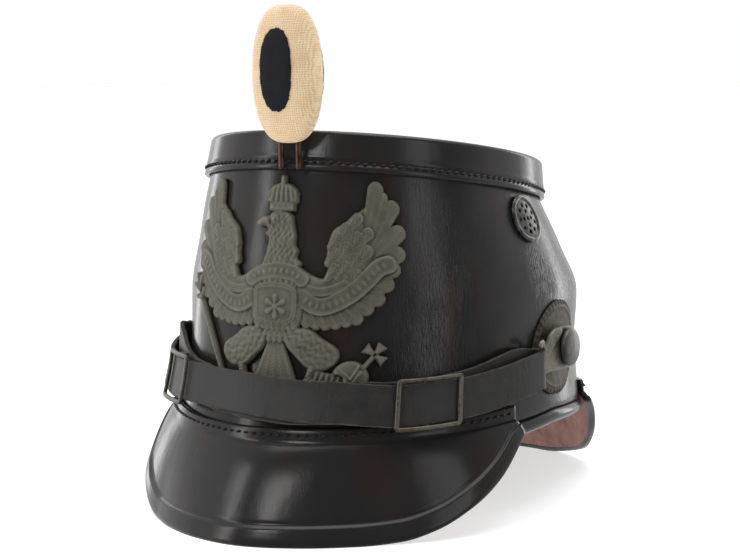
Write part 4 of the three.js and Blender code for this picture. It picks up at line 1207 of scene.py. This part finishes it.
# Neck, head, breast and belly in one form, with rows of small feathers
torso = rounded(
    (
        (-8, 33), (0, 31), (8, 33), (11.5, 44), (11, 56), (9.6, 60), (10.4, 62.2), (8.2, 64.5), (8.8, 67.2),
        (7.2, 69.6), (7.4, 73), (6.3, 77), (4.5, 82), (-3, 83), (-6, 80.8), (-9.3, 80.2), (-11.6, 77.4),
        (-9.8, 75.8), (-8.2, 76.6), (-6.2, 75.2), (-7.6, 73.4), (-5.3, 71.5), (-6.2, 66), (-7.5, 62),
        (-10.5, 57), (-11.5, 44),
    ),
    4,
)
depth = polygon_depth(torso)
stroke_rows = np.sin(field_u * 2.6 + 1.5 * np.sin(field_v * 0.9))
stroke_rows *= np.sin(field_v * 1.35 + 0.8 * np.cos(field_u))
lay(depth, 1.6 + 0.9 * np.sqrt(np.clip(depth / 6, 0, 1)) + 0.22 * stroke_rows)
# Beak, brow and eye
beak = rounded(((-5.6, 80.4), (-9.3, 80.2), (-11.8, 77.6), (-10.2, 76.4), (-7.6, 77.6), (-5.4, 77.0)), 5)
depth = polygon_depth(beak)
lay(depth, 2.5 + 0.5 * np.clip(depth, 0, 1.2))
depth = 2.2 - np.hypot(field_u + 2.6, field_v - 79.4)
lay(depth, 2.7 + 0.2 * np.clip(depth, 0, 1))
depth = 0.95 - np.hypot(field_u + 3.0, field_v - 79.3)
lay(depth, 3.4 + 0.4 * np.clip(depth, 0, 1), 0.3)

thigh_outline = (
    (5, 36), (14, 36.5), (20, 32.5), (25.6, 29), (26.6, 25), (24, 21.4), (19.5, 19.6), (14, 20.6), (9, 25),
    (4.4, 30),
)
for side in (1, -1):
    depth = polygon_depth(rounded(mirrored(thigh_outline, side), 5))
    turned_u = field_u * 0.62 * side + field_v * 0.78
    turned_v = -field_u * 0.78 * side + field_v * 0.62
    tufts = np.sin(turned_u * 2.0 + np.sin(turned_v * 1.3)) * np.sin(turned_v * 1.2 + 0.7 * np.sin(turned_u))
    lay(depth, 1.4 + 1.3 * np.sqrt(np.clip(depth / 6, 0, 1)) + 0.2 * tufts)
    # Leg and claws
    for x0, y0, x1, y1, half in (
        (16, 21, 14.6, 15.6, 1.7), (14.6, 16.2, 8.8, 12.6, 1.0), (14.6, 15.8, 12.6, 10.4, 1.0),
        (14.8, 16.0, 17.6, 11.0, 1.0), (15.2, 16.6, 20.2, 13.8, 1.0),
    ):
        depth, along, across, width = strip_fields(side * x0, y0, side * x1, y1, half, half)
        lay(depth, 1.5 + 0.7 * np.sqrt(np.clip(depth, 0, 1)) + 0.15 * np.cos(2 * math.pi * along / 1.3))

# Orb in the left claw: a ball with a crossed band, and a spreading cross above it
depth = 7.4 - np.hypot(field_u - 31, field_v - 16.5)
lay(depth, 1.4 + 1.8 * np.sqrt(np.clip(depth / 7.4, 0, 1)))
orb_bands = (
    (24.6, 19.8, 31.4, 13.6), (31.4, 13.6, 36.4, 21.0), (25.6, 21.8, 31.4, 16.4), (31.4, 16.4, 34.8, 22.4),
)
for x0, y0, x1, y1 in orb_bands:
    bar, _, _, _ = strip_fields(x0, y0, x1, y1, 0.5, 0.5)
    lay(np.minimum(bar, depth - 0.3), plate_height + 0.5, 0.3)
depth, along, across, width = strip_fields(18, 17.5, 26, 15.5, 2.4, 3.0)
lay(depth, 1.2 + 0.3 * np.cos(2 * math.pi * along / 2.2))
cross_turn = math.radians(-38)
for turn in range(4):
    heading = cross_turn + math.pi / 2 * turn
    ux, uy = math.cos(heading + math.pi / 2), math.sin(heading + math.pi / 2)
    arm = [(0.7, 0.3), (2.4, 4.9), (-2.4, 4.9), (-0.7, 0.3)]
    if turn == 2:
        arm = [(1.0, 0.3), (1.2, 8), (-1.2, 8), (-1.0, 0.3)]
    outline = [(40 + x * uy + y * ux, 26 - x * ux + y * uy) for x, y in arm]
    depth = polygon_depth(outline)
    lay(depth, 1.6 + 0.5 * np.clip(depth, 0, 0.9), 0.35)

# Sceptre in the right claw: a rod and a leafed head
sceptre_turn = math.radians(31)
ux, uy = -math.sin(sceptre_turn), math.cos(sceptre_turn)
depth, along, across, width = strip_fields(-36 - 20 * ux, 31 - 20 * uy, -36 + 18 * ux, 31 + 18 * uy, 1.1, 1.1)
lay(depth, 1.4 + 0.6 * np.sqrt(np.clip(depth, 0, 1)) + 0.1 * np.cos(2 * math.pi * along / 3))
for s, lean, length in ((16, 0.9, 5.5), (16, -0.9, 5.5), (19, 0.55, 7.0), (19, -0.55, 7.0), (20, 0.0, 8.0)):
    hx, hy = -math.sin(sceptre_turn + lean), math.cos(sceptre_turn + lean)
    x, y = -36 + s * ux, 31 + s * uy
    feather(x, y, x + hx * (length - 1.3), y + hy * (length - 1.3), 1.3, 1.5, 1.0)

# Crown: band, ribbed cap and finial
depth = polygon_depth(rounded(((-1.2, 90), (-1.3, 96.4), (-0.2, 97), (1.2, 96.4), (1.4, 90)), 3))
lay(depth, 2.0 + 0.5 * np.clip(depth, 0, 1))
crown_ball = (
    (-5.6, 85.6), (-7.4, 87.6), (-7.1, 90.6), (-4.4, 93), (-1.4, 93.8), (1.6, 93.8), (4.8, 93), (7.4, 90.6),
    (7.7, 87.6), (6, 85.6),
)
depth = polygon_depth(rounded(crown_ball, 5))
ribs = np.cos(2 * math.pi * (field_u - 0.2) / (1.9 + 0.10 * (93 - field_v)))
lay(depth, 2.2 + 1.0 * np.sqrt(np.clip(depth / 4, 0, 1)) + 0.3 * ribs * smooth_step(depth, 0.2, 0.8))
depth = polygon_depth(((-6, 82.6), (6.5, 82.6), (6.6, 86), (-6, 86)))
bands = np.exp(-(((field_v - 83.3) / 0.35) ** 2)) + np.exp(-(((field_v - 85.4) / 0.35) ** 2))
gems = np.exp(-((np.mod(field_u, 2.6) - 1.3) ** 2 + (field_v - 84.35) ** 2) / 0.35)
lay(depth, 2.4 + 0.4 * bands + 0.35 * gems)

# Scroll over the breast and the wings: a plain ribbon with a raised line along each edge
def ribbon(middle, half, level):
    """A band along a curve, with a line along each edge and a row of small lozenges between them"""
    middle = np.array(middle)
    dense = []
    for i in range(len(middle) - 1):
        a, b = middle[max(0, i - 1)], middle[i]
        c, d = middle[i + 1], middle[min(len(middle) - 1, i + 2)]
        dense += [curve_at(a, b, c, d, t) for t in np.linspace(0, 1, 10, endpoint=False)]
    dense.append(middle[-1])
    dense = np.array(dense)
    near = np.full(field_u.shape, 1e9)
    along = np.zeros(field_u.shape)
    run = 0.0
    for (x0, y0), (x1, y1) in zip(dense[:-1], dense[1:]):
        ex, ey = x1 - x0, y1 - y0
        length = math.hypot(ex, ey)
        t = np.clip(((field_u - x0) * ex + (field_v - y0) * ey) / length**2, 0, 1)
        gap = np.hypot(field_u - x0 - ex * t, field_v - y0 - ey * t)
        closer = gap < near
        near = np.where(closer, gap, near)
        along = np.where(closer, run + t * length, along)
        run += length
    depth = half - near
    lines = np.exp(-(((depth - 0.35) / 0.28) ** 2)) + 0.4 * np.exp(-(((depth - 1.1) / 0.2) ** 2))
    lozenge = np.abs(np.mod(along, 2.6) - 1.3) / 0.9 + near / max(half - 1.6, 0.1)
    lay(depth, level + 0.35 * lines + 0.3 * smooth_step(1 - lozenge, 0, 0.35) * (half > 2.5))


scroll_fold = ((11.0, 53.6), (14.5, 51.8), (18.4, 51.2), (23.0, 51.8), (28.0, 54.0))
scroll_band = (
    (11.5, 48.4), (15.5, 46.0), (19.8, 45.3), (26.0, 47.6), (31.5, 51.2), (36.6, 55.8), (41.0, 60.2),
    (44.6, 61.4),
)
for side in (1, -1):
    ribbon(mirrored(scroll_fold, side), 1.9, 1.9)
    ribbon(mirrored(scroll_band, side), 3.5, 2.0)
ribbon([(-11.2, 55.8), (-7.6, 58.0), (0, 59.2), (7.0, 58.4), (10.8, 56.2)], 3.2, 2.5)

# Shield on the breast with a plain six-leaved rosette
shield = (
    (-9.6, 52.6), (-5, 54.2), (0, 54.6), (5, 54), (8.8, 51.8), (9.2, 46), (8.6, 40.6), (5.6, 38), (0, 37.2),
    (-5.6, 38), (-9.4, 40), (-10, 46),
)
depth = polygon_depth(rounded(shield, 5))
edge_lines = 0.3 * np.exp(-(((depth - 0.4) / 0.3) ** 2)) + 0.25 * np.exp(-(((depth - 1.5) / 0.3) ** 2))
lay(depth, 2.5 + edge_lines - 0.1 * smooth_step(depth, 1.8, 2.4))
for k in range(6):
    turn = math.pi / 3 * k + math.pi / 6
    ux, uy = math.cos(turn), math.sin(turn)
    petal, along, across, width = strip_fields(1.2 * ux, 45 + 1.2 * uy, 3.9 * ux, 45 + 3.9 * uy, 0.7, 1.25)
    lay(petal, 2.55 + 0.5 * np.sqrt(np.clip(petal, 0, 1)), 0.3)
depth = 1.2 - np.hypot(field_u, field_v - 45)
lay(depth, 2.7 + 0.5 * np.sqrt(np.clip(depth, 0, 1)), 0.3)

# Rows of belly feathers below the shield
for row, (y, half_count) in enumerate(((37.0, 3), (34.2, 2), (31.6, 2))):
    for k in range(-half_count, half_count + 1):
        x = k * 2.6 + (row % 2) * 1.3
        if abs(x) < 8:
            feather(x * 0.9, y + 2.5, x, y, 1.3, 2.0, 0.8)

# The stamped sheet rounds off at its own cut edge
edge_drop = 0.7 * (1 - np.sqrt(np.clip(1 - (1 - np.clip(plate_inside / 0.8, 0, 1)) ** 2, 0, 1)))
plate_top = badge_plate + 0.62 * np.maximum(plate_height, 0) - edge_drop
around_height = plate_top.copy()
for _ in range(10):
    around_height = (
        around_height
        + np.roll(around_height, 1, 0)
        + np.roll(around_height, -1, 0)
        + np.roll(around_height, 1, 1)
        + np.roll(around_height, -1, 1)
    ) / 5
stand_out = (plate_top - around_height) * smooth_step(plate_inside, 0.5, 1.6)


def cut_from_field(inside, values):
    """Triangles of the field's grid where inside is positive, with its edge cut smoothly"""
    rows, columns = inside.shape
    index_of, spots = {}, []

    def corner(i):
        if i not in index_of:
            index_of[i] = len(spots)
            r, c = divmod(i, columns)
            spots.append([field_u[r, c], field_v[r, c], *(value[r, c] for value in values)])
        return index_of[i]

    def crossing(i, j):
        key = (min(i, j), max(i, j))
        if key not in index_of:
            (r0, c0), (r1, c1) = divmod(key[0], columns), divmod(key[1], columns)
            d0, d1 = inside[r0, c0], inside[r1, c1]
            t = d0 / (d0 - d1)
            first = np.array([field_u[r0, c0], field_v[r0, c0], *(value[r0, c0] for value in values)])
            second = np.array([field_u[r1, c1], field_v[r1, c1], *(value[r1, c1] for value in values)])
            index_of[key] = len(spots)
            spots.append((first + (second - first) * t).tolist())
        return index_of[key]

    triangles = []
    flat = inside.ravel()
    active = np.maximum.reduce([inside[:-1, :-1], inside[1:, :-1], inside[:-1, 1:], inside[1:, 1:]]) > 0
    for r, c in zip(*np.nonzero(active)):
        a = int(r) * columns + int(c)
        b, d, e = a + 1, a + columns, a + columns + 1
        for tri in ((a, b, e), (a, e, d)):
            hits = [flat[i] > 0 for i in tri]
            if all(hits):
                triangles.append([corner(i) for i in tri])
            elif any(hits):
                loop = []
                for k in range(3):
                    i, j = tri[k], tri[(k + 1) % 3]
                    if hits[k]:
                        loop.append(corner(i))
                    if hits[k] != hits[(k + 1) % 3]:
                        loop.append(crossing(i, j))
                triangles += [[loop[0], loop[k], loop[k + 1]] for k in range(1, len(loop) - 1)]
    return np.array(spots), triangles


spots, top_faces = cut_from_field(plate_inside, (plate_top, stand_out))
count = len(spots)
edges = {}
for face in top_faces:
    for k in range(3):
        i, j = face[k], face[(k + 1) % 3]
        if (j, i) in edges:
            del edges[(j, i)]
        else:
            edges[(i, j)] = True
top_points = np.stack([spots[:, 0], spots[:, 1], badge_gap + spots[:, 2]], 1)
low_points = np.stack([spots[:, 0], spots[:, 1], np.full(count, badge_gap)], 1)
badge_points = np.concatenate([top_points, low_points])
badge_faces = top_faces + [[count + a, count + c, count + b] for a, b, c in top_faces]
badge_faces += [[j, i, count + i, count + j] for i, j in edges]
placed = bent_on_body(badge_points, 0.0, badge_foot, badge_arc)


# Stamped steel, once blacked: dull grey-brown in the hollows, paler where it has been handled
def aged_plate():
    look, tree, shader = new_look("aged_plate")
    place = add(tree, "TexCoord").outputs["Object"]
    raised = add(tree, "Attribute", attribute_name="stand_out")
    height = add(tree, "MapRange", [("Value", raised.outputs["Fac"])], in_From_Min=-0.35, in_From_Max=0.4)
    patches = ranged(tree, noise(tree, place, 6, 8.0, 0.7), -0.25, 0.25)
    both = combined(tree, "ADD", patches, height.outputs["Result"])
    tinted(tree, shader, both, (0.15, "#26251e"), (0.5, "#5a584c"), (1.0, "#75726a"))
    bumped(tree, shader, (noise(tree, place, 0.6, 4.0), 0.4, 0.1))
    set_shader(shader, Metallic=0.2, Roughness=0.5, IOR=1.4)
    return look


badge = piece("eagle_plate", placed, badge_faces, [aged_plate()], ["eagle_badge"])
relief = badge.data.attributes.new("stand_out", "FLOAT", "POINT")
relief.data.foreach_set("value", np.concatenate([spots[:, 3], spots[:, 3] * 0]).astype(np.float32))


# Field badge
# A flattened oval, turned from wood and covered in cream wool cloth, with a black felt oval let into
# each face. Two wire prongs under it are pushed down behind a leather keeper on the cap's band.
field_height = 55.0
field_width = 29.0
field_depth = 20.0
band_top = body_point(0, 1, band_out - cap_taper, cap_height)
band_foot = body_point(0, 1, band_out, 0)
field_centre = np.array([3.4, band_top[1] - 6.8, band_top[2] - 5.0 + field_height / 2])
squareness = 0.78


def oval_point(turn, rise, swell=0.0):
    def flat(value):
        return np.sign(value) * np.abs(value) ** squareness

    turn, rise = np.broadcast_arrays(np.asarray(turn, float), np.asarray(rise, float))
    size = np.abs(np.cos(rise)) ** 0.68
    return field_centre + np.stack(
        [
            (field_width / 2 + swell) * size * flat(np.sin(turn)),
            -(field_depth / 2 + swell) * size * flat(np.cos(turn)),
            (field_height / 2 + swell) * np.sin(rise),
        ],
        -1,
    )


# Wool cloth: plain weave in cream, with a soft nap; threads drawn 0.9 mm apart so that they show
def woven_wool(name, light, dark, spacing, sheen):
    look, tree, shader = new_look(name)
    place = add(tree, "TexCoord").outputs["Object"]
    wave_scale = 2 * math.pi / (20 * spacing * MM)
    threads = []
    for way in ("X", "Z"):
        wave = add(
            tree,
            "TexWave",
            [("Vector", place)],
            bands_direction=way,
            in_Scale=wave_scale,
            in_Distortion=5.0,
            in_Detail=3.0,
            in_Detail_Scale=1.2,
        )
        threads.append(wave.outputs["Fac"])
    cloth = combined(tree, "ADD", *threads)
    fleck = combined(tree, "MULTIPLY", cloth, noise(tree, place, 6, 5.0))
    tinted(tree, shader, fleck, (0.1, dark), (0.75, light))
    bumped(tree, shader, (cloth, 0.4, 0.1), (noise(tree, place, 0.45, 5.0), 0.5, 0.2))
    set_shader(shader, Roughness=0.95, IOR=1.3, Sheen_Weight=sheen, Sheen_Roughness=0.5)
    return look


cream_wool = woven_wool("cream_wool", "#dcc7a6", "#c6a57c", 0.9, 0.2)
black_felt = woven_wool("black_felt", "#1d1e23", "#121216", 0.7, 0.08)
oval_sides = 96
turns = np.linspace(0, 2 * math.pi, oval_sides, endpoint=False)
rises = np.linspace(-math.pi / 2 * 0.995, math.pi / 2 * 0.995, 66)
oval_rings = [oval_point(turns, rise) for rise in rises]
oval_faces = capped_faces(len(rises), oval_sides)
piece("field_badge_oval", oval_rings, oval_faces, [cream_wool], ["field_badge_body"])

patch_rise = 0.8
patch_squareness = 0.85


def patch_share(value):
    return np.sign(value) * np.abs(value) ** patch_squareness


# Each felt as width, height and rise above the oval's middle; its rings from the centre to the edge
felts = (("front", 1, 14.0, 32.6, 1.8), ("back", -1, 25.0, 36.0, 0.0))
felt_shares = (0.02, 0.25, 0.5, 0.7, 0.85, 0.93, 0.98, 1.0, 1.0)
felt_swells = (patch_rise,) * 5 + (patch_rise - 0.08, patch_rise - 0.3, 0.3, -0.4)
for side, facing, patch_width, patch_height, patch_up in felts:
    rings = []
    for share, swell in zip(felt_shares, felt_swells):
        fray = 1 + 0.012 * np.sin(turns * 17 + 1) + 0.01 * np.sin(turns * 41)
        x = share * patch_width * patch_share(np.cos(turns)) / 2 * fray
        z = share * patch_height * patch_share(np.sin(turns)) / 2 * fray + patch_up
        rise = np.arcsin(z / (field_height / 2))
        across = np.abs(x) / (np.cos(rise) ** 0.68 * field_width / 2)
        turn = np.arcsin(np.sign(x) * np.clip(across, 0, 1) ** (1 / squareness))
        rings.append(oval_point(turn if facing > 0 else math.pi - turn, rise, swell))
    faces = capped_faces(len(rings), oval_sides)
    node = f"field_badge_patch_{side}"
    piece(f"field_badge_felt_{side}", rings, faces, [black_felt], [node])

# Copper wire: drawn, dark brown with a red glint
wire_look = rusted_steel("copper_wire", "#3a2923", "#6c5048", "#523a32", 0.34)
prong_radius = 1.2
prong_spacing = 8.0
prong_sides = 16
for side, sign in (("left", 1), ("right", -1)):
    x = field_centre[0] + sign * prong_spacing / 2
    y = band_foot[1] - clearance - prong_radius
    heights = np.linspace(band_foot[2] - 0.3, field_centre[2] - field_height / 2 + 3.0, 20)
    rings = []
    for k, z in enumerate(heights):
        slim = 1.0 if k else 0.7
        ring = [
            (x + prong_radius * slim * math.cos(t), y + prong_radius * slim * math.sin(t), z)
            for t in np.linspace(0, 2 * math.pi, prong_sides, endpoint=False)
        ]
        rings.append(ring)
    faces = capped_faces(len(rings), prong_sides)
    piece(f"prong_{side}", np.array(rings), faces, [wire_look], [f"field_badge_prong_{side}"])


# Studio
# A white sweep, a soft box overhead and one on either side, with the room dark behind the camera.
# The camera stands where the photograph was taken from.
def stage_mesh(name, points, faces, look):
    mesh = bpy.data.meshes.new(name)
    mesh.from_pydata(points, [], faces)
    mesh.materials.append(look)
    obj = bpy.data.objects.new(name, mesh)
    bpy.context.scene.collection.objects.link(obj)
    return obj


floor_look, _, floor_shader = new_look("floor_paper")
white = colour("#ffffff")
set_shader(floor_shader, Base_Color=colour("#c8c8c8"), Roughness=1.0)
set_shader(floor_shader, Emission_Color=white, Emission_Strength=0.62)
floor_size = 5.0
floor_corners = [(x * floor_size, y * floor_size, 0) for x, y in ((-1, -1), (1, -1), (1, 1), (-1, 1))]
floor = stage_mesh("floor", floor_corners, [[0, 1, 2, 3]], floor_look)
floor.visible_glossy = False
backdrop_look, _, backdrop_shader = new_look("backdrop_paper")
set_shader(backdrop_shader, Base_Color=(0, 0, 0, 1), Roughness=1.0)
set_shader(backdrop_shader, Emission_Color=white, Emission_Strength=1.0)
dome_radius = 7.0
dome_rows, dome_columns = 12, 32
dome_points = [
    (
        dome_radius * math.cos(rise) * math.cos(turn),
        dome_radius * math.cos(rise) * math.sin(turn),
        dome_radius * math.sin(rise),
    )
    for rise in np.linspace(-1.4, 1.5, dome_rows)
    for turn in np.linspace(0, 2 * math.pi, dome_columns, endpoint=False)
]
dome_faces = grid_faces(dome_rows, dome_columns, columns_closed=True)
dome = stage_mesh("backdrop", dome_points, dome_faces, backdrop_look)
dome.visible_diffuse = False
dome.visible_glossy = False
dome.visible_transmission = False
dome.visible_shadow = False

world = bpy.data.worlds.new("studio")
bpy.context.scene.world = world
world.use_nodes = True
sky = world.node_tree
direction = add(sky, "TexCoord").outputs["Generated"]
# The room is dark on the camera's side and fades to white on the far side
camera_side = Vector((0.458, -0.857, 0.2)).normalized()
facing = add(sky, "VectorMath", [("Vector", direction)], operation="DOT_PRODUCT")
facing.inputs[1].default_value = camera_side
fade_stops = [(0.0, 1.0), (0.45, 0.10), (0.85, 0.02)]
fade = add(sky, "ValToRGB", [("Fac", facing.outputs["Value"])], stops=fade_stops)
sky.links.new(fade.outputs["Color"], sky.nodes["Background"].inputs["Color"])
sky.nodes["Background"].inputs["Strength"].default_value = 1.0


def soft_box(name, place, target, width, height, power):
    light = bpy.data.lights.new(name, "AREA")
    light.shape = "RECTANGLE"
    light.size, light.size_y = width, height
    light.energy = power
    lamp = bpy.data.objects.new(name, light)
    bpy.context.scene.collection.objects.link(lamp)
    lamp.location = place
    aim = Vector(target) - Vector(place)
    lamp.rotation_euler = aim.to_track_quat("-Z", "Y").to_euler()


soft_box("box_overhead", (0.0, 0.1, 1.6), (0, 0, 0), 1.6, 1.6, 26)
soft_box("box_right", (1.5, -0.6, 0.5), (0, 0, 0.1), 0.5, 1.2, 4)
soft_box("box_left", (-1.2, -1.05, 0.6), (0, 0, 0.1), 0.16, 1.2, 6)
soft_box("box_front", (-0.3, -1.6, 1.1), (0, 0, 0.1), 0.5, 0.5, 7)
soft_box("box_behind_left", (-1.25, 0.6, 0.45), (0, 0, 0.1), 0.2, 1.2, 2.2)
soft_box("box_behind_right", (0.5, 1.5, 0.3), (0, 0, 0.1), 0.3, 1.0, 4)

view_centre = Vector((0.45826, -0.85935, 0.20758))
right = Vector((0.88226, 0.47042, -0.0181))
upward = Vector((-0.03926, 0.11184, 0.99295))
backward = right.cross(upward)
camera_data = bpy.data.cameras.new("camera")
camera_data.sensor_width = 36
camera_data.lens = 110.08
camera_data.clip_start = 0.05
camera_data.clip_end = 30
camera = bpy.data.objects.new("camera", camera_data)
bpy.context.scene.collection.objects.link(camera)
camera.matrix_world = Matrix(
    (
        (right.x, upward.x, backward.x, view_centre.x),
        (right.y, upward.y, backward.y, view_centre.y),
        (right.z, upward.z, backward.z, view_centre.z),
        (0, 0, 0, 1),
    )
)
bpy.context.scene.camera = camera
bpy.context.scene.view_settings.view_transform = "Standard"
